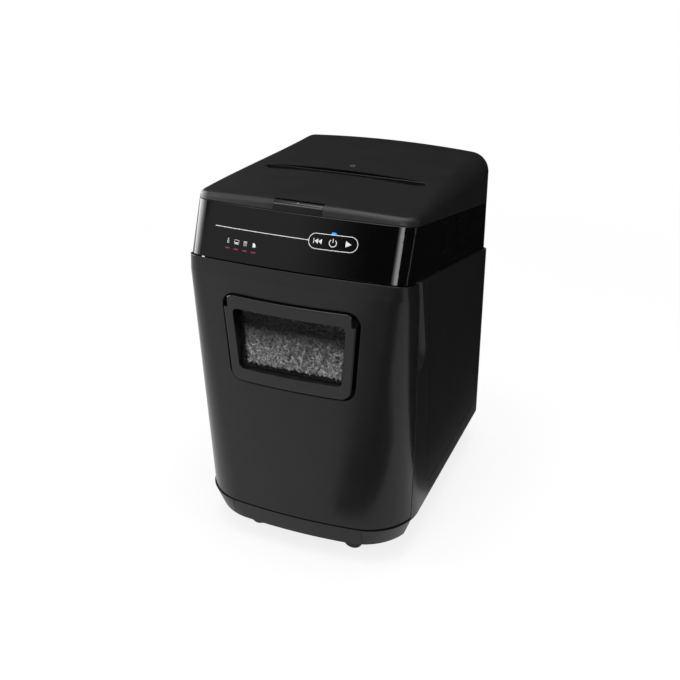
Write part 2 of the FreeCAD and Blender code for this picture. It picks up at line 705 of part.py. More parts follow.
def rear_panel():
    """Flat rear wall between the side panels, with holes for the gland, the rocker, screws and air."""
    across = both(half - S.side_split - S.seam_gap)
    panel = cabinet_shell().common(block(across, (0, rear + S.wall), TALL))
    ledge = block(across, (rear - S.band_inset - S.ledge_reach, rear - S.wall / 2), TALL)
    panel = panel.fuse(ledge.common(above_deck(-S.seat_gap - S.ledge))).common(below_deck(-S.seat_gap))
    through = both(S.wall * 2, rear)
    panel = panel.cut(post("y", rear_x, through[0], gland_z, gland_outer, S.wall * 4))
    panel = panel.cut(block(rocker_frame_x, through, rocker_frame_z))
    for x in both(screw_x):
        for z in screw_heights:
            panel = panel.cut(post("y", x, through[0], z, S.screw_radius, S.wall * 4))
            panel = panel.cut(post("y", x, rear - S.screw_sunk, z, S.screw_head, S.wall))
    for step in range(int(S.air_slot_count.value)):
        low = deck_at(rear) - S.air_slot_drop + S.air_slot_pitch * step
        panel = panel.cut(block(both(S.air_slot_half), through, (low, low + S.air_slot_height)))
    return panel.removeSplitter()


shaped("rear_panel", rear_panel())

group("cabinet_screws", [
    joined([rod("y", x, rear - S.screw_length, z, S.screw_radius, S.screw_length),
            rod("y", x, rear - S.screw_sunk, z, S.screw_head, S.screw_head_thick)])
    for x in both(screw_x) for z in screw_heights])

# ---------------------------------------------------------------- head: deck, band, air openings

centre_distance = 2 * S.cutter_radius - S.cutter_overlap
chute_half = centre_distance / 2 + S.cutter_radius + S.chute_gap
hinge_y = band_rear - S.hinge_setback
hinge_z = seam_at(hinge_y)
lug_inner = S.hinge_width / 2 + S.seat_gap
lug_outer = lug_inner + S.hinge_width


def head_deck():
    """Floor of the head inside the band's lower rim, with the chute the shreds fall through."""
    plate = head_block(S.band_wall + S.fit_gap).common(above_deck()).common(below_deck(S.deck_thick))
    chute = block(both(S.cutter_half + S.chute_margin), both(chute_half, slot_y), TALL)
    return plate.cut(chute).removeSplitter()


shaped("head_deck", head_deck())


def vent_window(x, index, clear=0):
    """One of the two air openings of a side: upright ends, and edges that follow the seam."""
    start = band_front + S.vent_start + index * (S.vent_length + S.vent_gap) + clear
    opening = block(both(S.hole_depth, x), (start, start + S.vent_length - 2 * clear), TALL)
    opening = opening.common(below_seam(-S.vent_below - clear))
    return opening.common(above_seam(-S.vent_below - S.vent_height + clear))


def facing(x):
    """Point, outward and upward direction on the band's front at x, halfway up the control row."""
    lean = math.atan(S.lean_rate.value)
    bow = S.bow_radius.value
    nose = band_front.value + S.lean_rate.value * S.row_rise.value
    point = V(x, nose + bow - math.sqrt(bow ** 2 - x ** 2), band_low.value + S.row_rise.value)
    turn = math.asin(x / bow)
    outward = V(math.sin(turn) * math.cos(lean), -math.cos(turn) * math.cos(lean), math.sin(lean))
    upward = V(0, math.sin(lean), math.cos(lean))
    upward = (upward - outward * outward.dot(upward)).normalize()
    return point, outward, upward


def pill(x, width, height, low, high, rise=0.0):
    """A bar with round ends that stands on the band's front at x, between two depths along its normal."""
    x, width, height, low, high, rise = [float(size(value)) for value in (x, width, height, low, high, rise)]
    point, outward, upward = facing(x)
    across = outward.cross(upward) * -1
    point = point + upward * rise
    radius = height / 2
    reach = width / 2 - radius
    bar = Part.makeCylinder(radius, high - low, point + across * reach + outward * low, outward)
    if reach > NEAR:
        bar = bar.fuse(Part.makeCylinder(radius, high - low, point - across * reach + outward * low, outward))
        corners = [point + across * (sx * reach) + upward * (sz * radius) + outward * low
                   for sx, sz in ((-1, -1), (1, -1), (1, 1), (-1, 1))]
        bar = bar.fuse(Part.Face(Part.makePolygon(corners + corners[:1])).extrude(outward * (high - low)))
    return bar.removeSplitter()


KEYS = ("reverse", "power", "forward")
key_spots = [S.capsule_x + (index - 1) * S.key_pitch for index in range(3)]
key_height = S.capsule_height - S.key_margin
light_rise = S.capsule_height / 2 + S.light_rise
status_rise = -S.capsule_height / 2 - S.status_drop
status_spots = [-S.status_x + (index - 1.5) * S.status_pitch for index in range(4)]


def control_hole(x, width, height, rise=0):
    return pill(x, width, height, -S.hole_depth, S.hole_reach, rise)


def fascia_band():
    """Glossy ring round the head: leaning front, rounded edges, air openings, control holes, hinge lugs."""
    outer = head_block(0).common(above_deck()).common(below_seam())
    outer = eased(outer, S.edge_round.value, lambda p: on_deck(p) or on_seam(p))
    band = outer.cut(head_block(S.band_wall))
    for x in both(band_half):
        for index in (0, 1):
            band = band.cut(vent_window(x, index))
    for spot in key_spots:
        band = band.cut(control_hole(spot, S.key_width, key_height))
    band = band.cut(control_hole(S.capsule_x, 4 * S.light_radius, 2 * S.light_radius, light_rise))
    for spot in status_spots:
        band = band.cut(control_hole(spot, S.status_width, S.status_height, status_rise))
    for x in both(S.hinge_half):
        for low in (x - lug_outer, x + lug_inner):
            web = block((low, low + S.hinge_width), (hinge_y, band_rear - S.band_wall / 2),
                        (hinge_z - S.hinge_web, hinge_z))
            band = band.fuse(web.common(below_seam()))
            band = band.fuse(post("x", low, hinge_y, hinge_z, S.hinge_eye, S.hinge_width))
        band = band.cut(post("x", x - lug_outer, hinge_y, hinge_z, S.hinge_pin_radius, 2 * lug_outer))
    return band.removeSplitter()


shaped("fascia_band", fascia_band())
group("hinge_pins", [rod("x", x - lug_outer, hinge_y, hinge_z, S.hinge_pin_radius, 2 * lug_outer)
                     for x in both(S.hinge_half)])


def vent_grille(sign):
    """Two inserts of upright louvres that fill the air openings of one side."""
    outer = band_half - S.vent_recess
    skin = sorted((sign * outer, sign * (outer - S.vent_thick)), key=float)
    layer = block(skin, WIDE, TALL)
    inserts = []
    for index in (0, 1):
        plate = vent_window(sign * band_half, index, S.vent_fit).common(layer)
        opening = vent_window(sign * band_half, index, S.vent_rim)
        near = opening.BoundBox.YMin
        pitch = (opening.BoundBox.YMax - near) / S.louvre_count.value
        bars = [block(skin, both(S.louvre / 2, near + step * pitch), TALL)
                for step in range(1, int(S.louvre_count.value))]
        inserts.append(plate.cut(opening).fuse(plate.common(Part.makeCompound(bars))).removeSplitter())
    return Part.makeCompound(inserts)


shaped("vent_grille_left", vent_grille(-1))
shaped("vent_grille_right", vent_grille(1))

# ---------------------------------------------------------------- controls

key_back = S.key_thick + S.key_gap
stem_end = S.key_thick + S.key_stem


def key_cap(spot):
    """A key with a flange behind the band and a stem that meets its switch."""
    cap = pill(spot, S.key_width - 2 * S.key_clear, key_height - 2 * S.key_clear, -S.key_thick, 0)
    flange = pill(spot, S.key_width + 2 * S.key_lip, key_height + 2 * S.key_lip,
                  -key_back - S.key_flange, -key_back)
    neck = pill(spot, S.key_neck, S.key_neck, -key_back - S.key_flange / 2, -S.key_thick / 2)
    stem = pill(spot, S.key_stem_width, S.key_stem_width, -stem_end, -key_back)
    return cap.fuse(flange).fuse(neck).fuse(stem).removeSplitter()


for key, spot in zip(KEYS, key_spots):
    shaped(f"key_{key}", key_cap(spot))


def light_bar(x, width, height, rise):
    clear = 2 * S.light_clear
    return pill(x, width - clear, height - clear, -S.light_depth, 0, rise)


shaped("power_light", light_bar(S.capsule_x, 4 * S.light_radius, 2 * S.light_radius, light_rise))
shaped("status_lights", Part.makeCompound([light_bar(spot, S.status_width, S.status_height, status_rise)
                                           for spot in status_spots]))


def key_board():
    """Small board behind the band's front with a switch for each key, on two pillars."""
    point, outward, upward = facing(0)
    point = point - outward * S.board_depth.value
    side = S.board_side.value
    low, high = -S.board_low.value, S.board_high.value
    corners = [point + V(u, 0, 0) + upward * v for u, v in rectangle((-side, side), (low, high))]
    board = Part.Face(Part.makePolygon(corners + corners[:1])).extrude(outward * -S.board_thick.value)
    switch_top = -stem_end - S.key_travel - S.switch_play
    for spot in key_spots:
        board = board.fuse(pill(spot, S.switch_width, S.switch_width, -S.board_depth - S.seat_gap, switch_top))
    for x in both(S.pillar_x):
        board = board.fuse(pill(x, S.switch_width, S.switch_width, -S.board_depth, -S.band_wall, S.pillar_rise))
    return board.removeSplitter()


shaped("key_board", key_board())

# ---------------------------------------------------------------- bin: box, front, window frame, lens, shreds

window_high = band_low - S.window_drop
window_low = window_high - S.window_height
box_front = front + S.box_front_clear
box_rear = rear - S.bin_rear_clear
box_half = half - S.bin_clear - S.wall
box_low = base_top + S.rail_height + S.seat_gap
front_low = base_top + S.front_lift
bar_low = window_high - S.frame_gap_top - S.grip_height
view_low = window_low + S.sill + S.funnel_rise
frame_back = box_front - S.frame_back_gap


def window_half(z):
    """Half the window's width at a height; it is wider at the top."""
    spread = (S.window_half_high - S.window_half_low) / S.window_height
    return S.window_half_low + spread * (z - window_low)


def mouth_half(z):
    """Half the width between the frame's side bars at the face."""
    return window_half(z) - S.frame_gap - S.bar_width


def view_half(z):
    """Half the width of the opening behind the frame's funnel."""
    return mouth_half(z) - S.funnel


def upright(low, high, half_at, radius):
    """A face in the XZ plane between two heights whose half width is half_at(z)."""
    low_half, high_half = half_at(low), half_at(high)
    corners = [(-low_half, low), (low_half, low), (high_half, high), (-high_half, high)]
    return rounded(corners, float(size(radius)))


def rim_at(y):
    """Height of the bin's rim, which slopes with the head above it."""
    return deck_at(y) - S.rim_drop


def slanted(inset):
    """The box's outline seen from above set in by inset: its front corners are cut off at a slant."""
    reach = box_half - inset
    near = box_front + inset
    cut = S.box_corner - inset * (2 - math.sqrt(2))
    return [(-reach, near + cut), (cut - reach, near), (reach - cut, near), (reach, near + cut),
            (reach, box_rear - inset), (-reach, box_rear - inset)]


def bin_box():
    """Open box that slides out with the front, with an opening behind the window."""
    piece = Piece("bin_box")
    wall = S.wall
    top = rim_at(box_front)
    piece.pad("xy", (box_low, top), slanted(size(0)))
    piece.pocket("yz", both(box_half), [(box_front, top), (box_rear, rim_at(box_rear)), (box_rear, top)])
    piece.pocket("xy", (box_low + wall, top), slanted(wall))
    top_half = view_half(bar_low) + S.view_clear
    piece.pocket("xz", both(wall * 2, box_front), rectangle(both(top_half), (view_low, bar_low + S.view_clear)))


bin_box()


def bin_front():
    """Bowed front that wraps both corners, with a bevelled upper edge, the window hole and four bosses."""
    outer = cabinet_block(0, front_low).common(block(WIDE, (front - S.wall, gap_line), TALL))
    outer = outer.common(below_deck(-S.rise_gap))

    def on_top(p):
        return on_deck(p, -S.rise_gap.value) and p.y < gap_line.value - NEAR

    bevelled = outer.makeChamfer(S.bevel_height.value, S.bevel_depth.value,
                                 [edge for edge in outer.Edges if on_top(middle_of(edge))])
    outer = eased(bevelled, S.front_edge_round.value,
                  lambda p: abs(p.y - gap_line.value) < NEAR and abs(p.x) > box_half.value)
    outer = eased(outer, S.top_edge_round.value, on_top)
    hole = slab(upright(window_low, window_high, window_half, S.window_round), front - S.wall, gap_line)
    outer = outer.cut(hole)
    outer = eased(outer, S.window_edge_round.value,
                  lambda p: window_low.value - 1 < p.z < window_high.value + 1 and p.y < front.value + 10)
    panel = outer.cut(cabinet_block(S.wall))
    flange = block(WIDE, (front - S.wall, box_front), (front_low, front_low + S.wall))
    panel = panel.fuse(flange.common(cabinet_block(S.wall / 2, front_low)))
    for x in both(S.stud_x):
        for z in (base_top + S.stud_low, base_top + S.stud_low + S.stud_rise):
            stud = post("y", x, front, z, S.bin_stud_radius, S.box_front_clear)
            panel = panel.fuse(stud.common(cabinet_block(S.wall / 2)))
    return panel.removeSplitter()


shaped("bin_front", bin_front())

lens_angle = math.degrees(math.atan(S.lens_lean.value))
lens_low = view_low - S.funnel_rise - S.lens_seat
lens_high = bar_low + S.lens_seat
lens_length = (lens_high - lens_low) * math.hypot(1, S.lens_lean.value)
lens_front = front + S.lens_setback - S.lens_seat * S.lens_lean
lens_half = view_half(bar_low) + S.lens_seat
lens_tilt = FreeCAD.Rotation(V(1, 0, 0), -lens_angle)


def window_lens():
    """Clear plate in the frame, which leans back towards the top."""
    plate = doc.addObject("Part::Box", "window_lens")
    plate.Placement = FreeCAD.Placement(V(), lens_tilt)
    bind(plate, Length=2 * lens_half, Width=S.lens_thick, Height=lens_length)
    return place(plate, -lens_half, lens_front, lens_low)


keep("window_lens", window_lens())


def lens_slot():
    """The lens's plate with a little room all round."""
    clear = S.lens_gap
    slot = block(both(lens_half + clear), (-clear, S.lens_thick + clear), (-clear, lens_length + clear))
    slot.Placement = FreeCAD.Placement(V(0, lens_front.value, lens_low.value), lens_tilt)
    return slot


def proud_block():
    """Space behind a bowed face that leans forward as it rises, from the window's foot to its top."""
    wires = []
    for height, proud in ((window_low, S.frame_proud_low), (window_high, S.grip_proud)):
        proud = proud.value
        wires.append(outline(half.value + proud, front.value - proud, rear.value,
                             corner_at(height.value) + proud, S.rear_radius.value,
                             S.bow_radius.value + proud, height.value))
    return Part.makeLoft(wires, True, True)


def handle_frame():
    """Frame in the window hole: its upper bar is a grip with finger space behind it."""
    low = window_low + S.frame_gap_low
    high = window_high - S.frame_gap_top
    face = upright(low, high, lambda z: window_half(z) - S.frame_gap, S.frame_round)
    body = slab(face, front - 2 * S.grip_proud, frame_back).common(proud_block())
    body = eased(body, S.frame_edge_round.value, lambda p: p.y < front.value + S.grip_proud.value)
    grip_half = window_half(bar_low) - S.frame_gap - S.grip_step
    step_y = (front - 2 * S.grip_proud, front + S.grip_step_depth)
    for x in ((-REACH / 2, -grip_half), (grip_half, REACH / 2)):
        body = body.cut(block(x, step_y, (bar_low, high + S.wall)))
    mouth = upright(view_low - S.funnel_rise, bar_low, mouth_half, S.view_round)
    view = upright(view_low, bar_low, view_half, S.view_round)
    wires = []
    for opening, y in ((mouth, front - 2 * S.grip_proud), (view, front + S.funnel_depth)):
        wire = opening.OuterWire.copy()
        wire.translate(V(0, y.value, 0))
        wires.append(wire)
    body = body.cut(Part.makeLoft(wires, True, True)).cut(slab(view, front, box_front))
    bar_back = front - S.grip_proud + S.grip_thick
    pocket = block(both(view_half(bar_low)), (bar_back, front + S.pocket_depth),
                   (bar_low - S.pocket_roof, window_high - S.pocket_roof))
    return body.cut(pocket).cut(lens_slot()).removeSplitter()


shaped("handle_frame", handle_frame())


def shredded_paper():
    """Heap of shreds: a plain solid that fills most of the box and comes up to the lens."""
    piece = Piece("shredded_paper")
    clear = S.wall + S.heap_gap
    near = box_front + clear
    far = box_rear - clear
    low = box_low + clear

    def top(y):
        return rim_at(y) - S.heap_drop

    heap = [(near, low), (far, low), (far, top(far)), (slot_y + S.hump_half, top(slot_y + S.hump_half)),
            (slot_y, top(slot_y) + S.heap_hump), (slot_y - S.hump_half, top(slot_y - S.hump_half)),
            (near, top(near))]
    side = box_half - clear
    piece.pad("yz", both(side), heap)
    cut = S.box_corner - clear * (2 - math.sqrt(2))
    corners = [[(sign * side, near), (sign * (side - cut), near), (sign * side, near + cut)]
               for sign in (-1, 1)]
    piece.pocket("xy", (low, top(near)), *corners)
    back = lens_front + S.lens_thick * math.hypot(1, S.lens_lean.value) + S.heap_gap
    foot = view_low + S.heap_gap
    lean = S.lens_lean
    tongue = [(back + lean * (foot - lens_low), foot), (near, foot), (near, top(near)),
              (back + lean * (top(near) - lens_low), top(near))]
    piece.pad("yz", both(view_half(view_low) - S.view_round), tongue)


shredded_paper()

# ---------------------------------------------------------------- lid

fall_rate = S.lid_fall / (band_rear - seam_front)
front_axis = (slot_y - centre_distance / 2, deck_at(slot_y) + S.cutter_radius + S.cutter_lift)
rear_axis = (slot_y + centre_distance / 2, front_axis[1])
coarse_module = centre_distance.value / S.cutter_teeth.value


def top_at(y):
    """Height of the lid's top along its middle."""
    return S.body_height - fall_rate * (y - seam_front)


def gear_radius(teeth, module):
    """Pitch radius of a gear."""
    return size(teeth).value * module / 2


def feed_place():
    """Axis of the feed rollers: a little out of the tray, at the gear train's reach from the cutters."""
    train = sum(gear_radius(teeth, coarse_module)
                for teeth in (S.cutter_teeth, S.idler_teeth, S.idler_teeth, S.feed_teeth))
    reach = S.train_stretch.value * train
    rate = S.drop_rate.value
    axis_y, axis_z = float(front_axis[0]), float(front_axis[1])
    rise = float(tray_at(axis_y) + S.roller_proud - S.roller_radius) - axis_z
    root = math.sqrt((rise * rate) ** 2 - (1 + rate ** 2) * (rise ** 2 - reach ** 2))
    run = (rise * rate - root) / (1 + rate ** 2)
    return size(axis_y + run), size(axis_z + rise - rate * run)


feed_y, feed_z = feed_place()


def lid_solid(inset):
    """The lid's outer form: crowned top that falls to the rear, and an edge that gets rounder to the rear."""
    inset = float(size(inset))
    top = S.body_height.value - inset
    body = head_block(inset, top + S.lid_crown.value)
    radius = half.value ** 2 / (2 * S.lid_crown.value)
    crown = Part.makeCylinder(radius, REACH, V(0, -REACH / 2, top - radius), V(0, 1, 0))
    crown.rotate(V(0, 0, top - radius), V(0, 1, 0), 180)
    crown.rotate(V(0, seam_front.value, top), V(1, 0, 0), -math.degrees(math.atan(fall_rate.value)))
    sharp = doc.addObject("Part::Feature", "lid_form")
    sharp.Shape = body.common(crown)
    start = float(gap_line)
    end = float(band_rear - S.rear_radius)

    def radius_at(point):
        share = min(1, max(0, (point.y - start) / (end - start)))
        return S.lid_edge.value + (S.lid_rear_edge.value - S.lid_edge.value) * share - inset

    edges = []
    for number, edge in enumerate(sharp.Shape.Edges, start=1):
        bounds = edge.BoundBox
        upper = bounds.ZMin > top - S.band_height.value
        if upper and bounds.ZMax - bounds.ZMin < 2 * S.lid_fall.value:
            first = edge.valueAt(edge.FirstParameter)
            last = edge.valueAt(edge.LastParameter)
            edges.append((number, radius_at(first), radius_at(last)))
    smooth = doc.addObject("Part::Fillet", "lid_round")
    smooth.Base = sharp
    smooth.Edges = edges
    doc.recompute()
    return smooth.Shape


lid_outer = lid_solid(0)
lid_inner = lid_solid(S.wall)
rear_clear = beyond(hinge_y.value, hinge_z.value, slope_angle - S.lid_open_angle.value - S.open_margin.value)
lid_space = above_seam(S.seam_gap).common(rear_clear.fuse(block(WIDE, (-REACH / 2, hinge_y), TALL)))


def slot_outline(grow=0):
    """The recess round the manual slot seen from above, pointed at both ends."""
    wide = S.recess_width / 2 + grow
    ends = S.slot_half + grow
    return [(-ends, slot_y), (-ends + S.recess_point, slot_y - wide), (ends - S.recess_point, slot_y - wide),
            (ends, slot_y), (ends - S.recess_slant, slot_y + wide), (-ends + S.recess_slant, slot_y + wide)]


recess_floor = top_at(slot_y) - S.recess_depth
throat = block(both(S.throat_half), both(S.throat_width / 2, slot_y), TALL)
latch_pin_y = seam_front + S.latch_reach - S.latch_pin_back
latch_pin_z = top_at(latch_pin_y) - S.latch_pin_drop
latch_swing = math.hypot(S.latch_pin_back.value, S.latch_pin_drop.value)
nose_y = (seam_front - S.band_setback, latch_pin_y)


def lid_shell():
    """Lid with the recess round the manual slot and a notch for the latch paddle."""
    skin = lid_outer.common(lid_space)
    skin = eased(skin, S.lid_seam_round.value, lambda p: on_seam(p, S.seam_gap.value) and p.y < hinge_y.value)
    shell = skin.cut(lid_inner)
    well = prism("xy", slot_outline(S.well_wall), recess_floor.value - S.well_floor.value, REACH)
    recess = prism("xy", slot_outline(), recess_floor.value, REACH)
    shell = shell.fuse(well.common(lid_outer)).cut(recess).cut(throat)
    cover = S.latch_half + S.seam_gap
    swing = post("x", -cover, latch_pin_y, latch_pin_z, latch_swing + S.seam_gap.value, 2 * cover)
    return shell.cut(block(both(cover), nose_y, TALL)).cut(swing).removeSplitter()


shaped("lid_shell", lid_shell())

press_y = both(S.press_length / 2, feed_y)
cage_x = both(S.press_half + S.press_clear)
cage_y = both(S.press_length / 2 + S.press_clear, feed_y)
cage_top = seam_at(feed_y) - S.press_drop + S.cage_height
hinge_room = S.hinge_width * 1.5 + 4 * S.seat_gap


def grown(pair, by):
    return (pair[0] - by, pair[1] + by)


def lid_liner():
    """Inner panel of the lid: throat duct, cage of the pressure plate, latch cheeks and two hinge ears."""
    floor = above_seam(S.liner_rise)
    roof = below_seam(S.liner_rise + S.liner_thick)
    plate = head_block(S.wall + S.liner_fit).common(floor).common(roof).common(lid_space)
    duct = block(both(S.throat_half + S.duct_wall), both(S.throat_width / 2 + S.duct_wall, slot_y),
                 (0, recess_floor - S.well_floor - S.well_gap))
    cage = block(grown(cage_x, S.cage_wall), grown(cage_y, S.cage_wall), (0, cage_top + S.cage_wall))
    plate = plate.fuse(duct.common(floor)).cut(throat)
    plate = plate.fuse(cage.common(floor)).cut(block(cage_x, cage_y, (0, cage_top)))
    for x in both(S.spring_x):
        plate = plate.fuse(post("z", x, feed_y, cage_top - S.spring_seat_height,
                                S.spring_radius - S.spring_peg_gap, S.spring_seat_height + S.cage_wall / 2))
    latch_space = block(both(S.latch_room), (nose_y[0], latch_pin_y + S.latch_room_rear), TALL)
    paddle_y = (nose_y[0], seam_front + S.latch_skin + S.liner_cut)
    paddle_space = block(both(S.latch_half + S.seam_gap), paddle_y, TALL)
    plate = plate.cut(latch_space).cut(paddle_space)
    for x in both(S.cheek_x):
        cheek = block(both(S.cheek_thick / 2, x), (latch_pin_y - S.cheek_front, latch_pin_y + S.cheek_rear),
                      (0, latch_pin_z + S.cheek_top))
        plate = plate.fuse(cheek.common(floor))
    span = S.cheek_x + S.cheek_thick / 2
    plate = plate.cut(post("x", -span, latch_pin_y, latch_pin_z, S.latch_pin_radius, 2 * span))
    for x in both(S.hinge_half):
        width = both(S.hinge_width / 2, x)
        plate = plate.cut(block(both(hinge_room, x), (hinge_y - S.hinge_room, rear), TALL))
        eye = post("x", width[0], hinge_y, hinge_z, S.hinge_eye, S.hinge_width)
        bore = post("x", width[0], hinge_y, hinge_z, S.hinge_pin_radius + S.run_clear, S.hinge_width)
        arm = block(width, (hinge_y - S.hinge_arm, hinge_y), (0, hinge_z + S.hinge_arm_high))
        plate = plate.fuse(eye).fuse(arm.common(roof).common(above_seam(-S.hinge_arm_low))).cut(bore)
    return plate.removeSplitter()


shaped("lid_liner", lid_liner())


def latch_paddle():
    """Skin of the lid's front edge that tips up on its pin, with a hook below."""
    width = both(S.latch_half)
    swing = post("x", width[0], latch_pin_y, latch_pin_z, latch_swing, 2 * S.latch_half)
    skin = lid_outer.cut(lid_solid(S.latch_skin)).common(above_seam(S.seam_gap + S.latch_rise))
    skin = skin.common(block(width, nose_y, TALL).fuse(swing))
    across = both(S.latch_boss_half)
    boss = post("x", across[0], latch_pin_y, latch_pin_z, S.latch_boss, 2 * S.latch_boss_half)
    spine = block(across, both(S.latch_boss, latch_pin_y), (latch_pin_z, latch_pin_z + S.spine_height))
    hook_low = latch_pin_z - S.hook_drop
    hook_front = latch_pin_y - S.hook_thick + S.hook_stem_back
    stem = block(both(S.hook_half), (hook_front, hook_front + S.hook_thick), (hook_low, latch_pin_z))
    lip = block(both(S.hook_half), (hook_front, latch_pin_y + S.hook_reach), (hook_low, hook_low + S.hook_lip))
    paddle = skin.fuse(spine.common(lid_outer)).fuse(boss).fuse(stem).fuse(lip)
    bore_radius = S.latch_pin_radius + S.run_clear
    bore = post("x", across[0], latch_pin_y, latch_pin_z, bore_radius, 2 * S.latch_boss_half)
    return paddle.cut(bore).removeSplitter()


shaped("latch_paddle", latch_paddle())
pin_half = S.cheek_x + S.cheek_thick / 2
group("latch_pin", [rod("x", -pin_half, latch_pin_y, latch_pin_z, S.latch_pin_radius, 2 * pin_half)])


def along_seam(y, low, high):
    """A band between two rises from the seam, over the pair of places y."""
    return [(y[0], seam_at(y[0]) + low), (y[1], seam_at(y[1]) + low),
            (y[1], seam_at(y[1]) + high), (y[0], seam_at(y[0]) + high)]


def pressure_plate():
    """Plate that presses the stack on the feed rollers; it slides up into the lid against two springs."""
    piece = Piece("pressure_plate")
    floor = -S.press_drop + S.press_thick
    piece.pad("yz", both(S.press_half), along_seam(press_y, -S.press_drop, S.press_rise))
    piece.pocket("yz", both(S.press_half - S.press_wall),
                 along_seam(grown(press_y, -S.press_wall), floor, S.press_rise + S.wall))
    seat = seam_at(feed_y) - S.press_drop
    for x in both(S.spring_x):
        piece.pad("xy", (seat + S.press_thick / 2, seat + S.spring_seat_height),
                  (x, feed_y, S.spring_radius + S.spring_seat))


pressure_plate()


def coil(x):
    """A round-wire spring standing between the pressure plate and the roof of its cage."""
    wire = S.spring_wire.value
    ring_radius = S.spring_radius.value - wire
    low = float(seam_at(feed_y) - S.press_drop + S.spring_seat_height) + wire
    high = cage_top.value - wire
    path = Part.makeHelix((high - low) / S.spring_turns.value, high - low, ring_radius)
    path.translate(V(float(x), feed_y.value, low))
    ring = Part.Wire([Part.makeCircle(wire, V(float(x) + ring_radius, feed_y.value, low), V(0, 1, 0.1))])
    return Part.Wire(path.Edges).makePipeShell([ring], True, False)


shaped("pressure_springs", Part.makeCompound([coil(x) for x in both(S.spring_x)]))

# ---------------------------------------------------------------- auto-feed tray

tray_y = (seam_front + S.tray_start, band_rear - S.tray_end)
mouth_y = both(S.mouth_width / 2, slot_y)


def seam_layer(high, low):
    """Space between two drops below the seam."""
    return below_seam(-high).common(above_seam(-low))


def feed_tray():
    """Sloping tray under the lid: flange on the band's rim, shallow well, mouth over the cutters."""
    thick = S.tray_thick
    flange = head_block(S.band_wall + S.fit_gap).common(seam_layer(S.flange_drop, S.flange_drop + thick))
    pan = block(both(S.tray_half + thick), grown(tray_y, thick), TALL)
    pan = pan.common(seam_layer(S.flange_drop, S.tray_depth + thick))
    tray = flange.fuse(pan).cut(block(both(S.tray_half), tray_y, TALL).common(above_seam(-S.tray_depth)))
    tray = tray.cut(block(both(S.throat_half), mouth_y, TALL))
    roller_half = S.roller_length / 2 + S.roller_gap
    for x in both(S.roller_offset):
        tray = tray.cut(block(both(roller_half, x), both(S.roller_slot_half, feed_y), TALL))
    across = both(S.latch_boss_half)
    hook_front = latch_pin_y - S.latch_room_front
    latch_space = block(across, (hook_front, latch_pin_y + S.latch_room_rear), TALL)
    hook_space = block(across, (hook_front, latch_pin_y + S.keeper_gap), TALL)
    keeper_top = S.flange_drop + thick - S.fit_gap
    keeper = block(both(S.keeper_half), (latch_pin_y - S.keeper_front, latch_pin_y + S.keeper_rear), TALL)
    keeper = keeper.common(seam_layer(keeper_top, keeper_top + S.keeper_thick))
    tray = tray.cut(latch_space).fuse(keeper.cut(hook_space))
    for x in both(S.hinge_half):
        tray = tray.cut(block(both(hinge_room, x), (hinge_y - S.hinge_arm - S.wall, rear), TALL))
    return tray.removeSplitter()


shaped("feed_tray", feed_tray())

# ---------------------------------------------------------------- cutting unit

bush_radius = S.cutter_shaft + S.run_clear + S.bush_wall
pitch = S.cutter_disc + S.cutter_gap
disc_count = int(2 * S.cutter_half.value / pitch.value)
disc_start = -disc_count * pitch.value / 2
plate_outer = S.plate_offset + S.plate_thick
plate_y = (slot_y - S.plate_front, slot_y + S.plate_rear)
gear_low = -(plate_outer + S.gear_gap + S.gear_width)
gear_high = gear_low + S.gear_width
large_high = gear_low - S.plane_gap
large_low = large_high - S.large_width
front_point = (front_axis[0].value, front_axis[1].value)
rear_point = (rear_axis[0].value, rear_axis[1].value)
feed_point = (feed_y.value, feed_z.value)
large_radius = gear_radius(S.large_teeth, S.large_module.value)
pinion_radius = gear_radius(S.pinion_teeth, S.large_module.value)
cutter_gear_radius = gear_radius(S.cutter_teeth, coarse_module)
small_radius = gear_radius(S.small_teeth, coarse_module)
idler_radius = gear_radius(S.idler_teeth, coarse_module)


def step_from(point, distance, drop):
    """The place at a distance behind a point and a drop below it."""
    return (point[0] + math.sqrt(distance ** 2 - drop ** 2), point[1] - drop)


def between(first, first_reach, second, second_reach):
    """The lower of the two places at the given reaches from both points."""
    run = (second[0] - first[0], second[1] - first[1])
    length = math.hypot(*run)
    along = (first_reach ** 2 - second_reach ** 2 + length ** 2) / (2 * length)
    aside = math.sqrt(first_reach ** 2 - along ** 2)
    unit = (run[0] / length, run[1] / length)
    foot = (first[0] + unit[0] * along, first[1] + unit[1] * along)
    places = [(foot[0] + offset * unit[1], foot[1] - offset * unit[0]) for offset in both(aside)]
    return min(places, key=lambda spot: spot[1])


reduction_point = step_from(rear_point, cutter_gear_radius + small_radius, S.reduction_drop.value)
motor_point = step_from(reduction_point, large_radius + pinion_radius, S.pinion_drop.value)
idler_point = between(front_point, cutter_gear_radius + idler_radius, feed_point,
                      idler_radius + gear_radius(S.feed_teeth, coarse_module))
tie_ends = [(plate_y[0] + S.tie_inset, deck_at(plate_y[0]) + S.tie_rise),
            (plate_y[1] - S.tie_inset, deck_at(plate_y[1]) + S.tie_rise)]


def cutter_plate(label, x, *more):
    """Steel side plate standing on the deck, with holes for bushes, feed shaft, tie rods and more."""
    piece = Piece(label)
    low = [(y, deck_at(y) + S.deck_thick) for y in plate_y]
    high = [(y, seam_at(y) - S.plate_gap) for y in reversed(plate_y)]
    piece.pad("yz", x, low + high)
    holes = [(*front_axis, bush_radius), (*rear_axis, bush_radius),
             (feed_y, feed_z, S.feed_shaft_radius + S.run_clear)]
    holes += [(*end, S.tie_end_radius) for end in tie_ends]
    piece.pocket("yz", x, *holes, *more)


cutter_plate("cutter_plate_left", (-plate_outer, -S.plate_offset), (*reduction_point, S.stud_radius),
             (*idler_point, S.stud_radius), (*motor_point, S.motor_shaft + S.motor_hole))
cutter_plate("cutter_plate_right", (S.plate_offset, plate_outer))

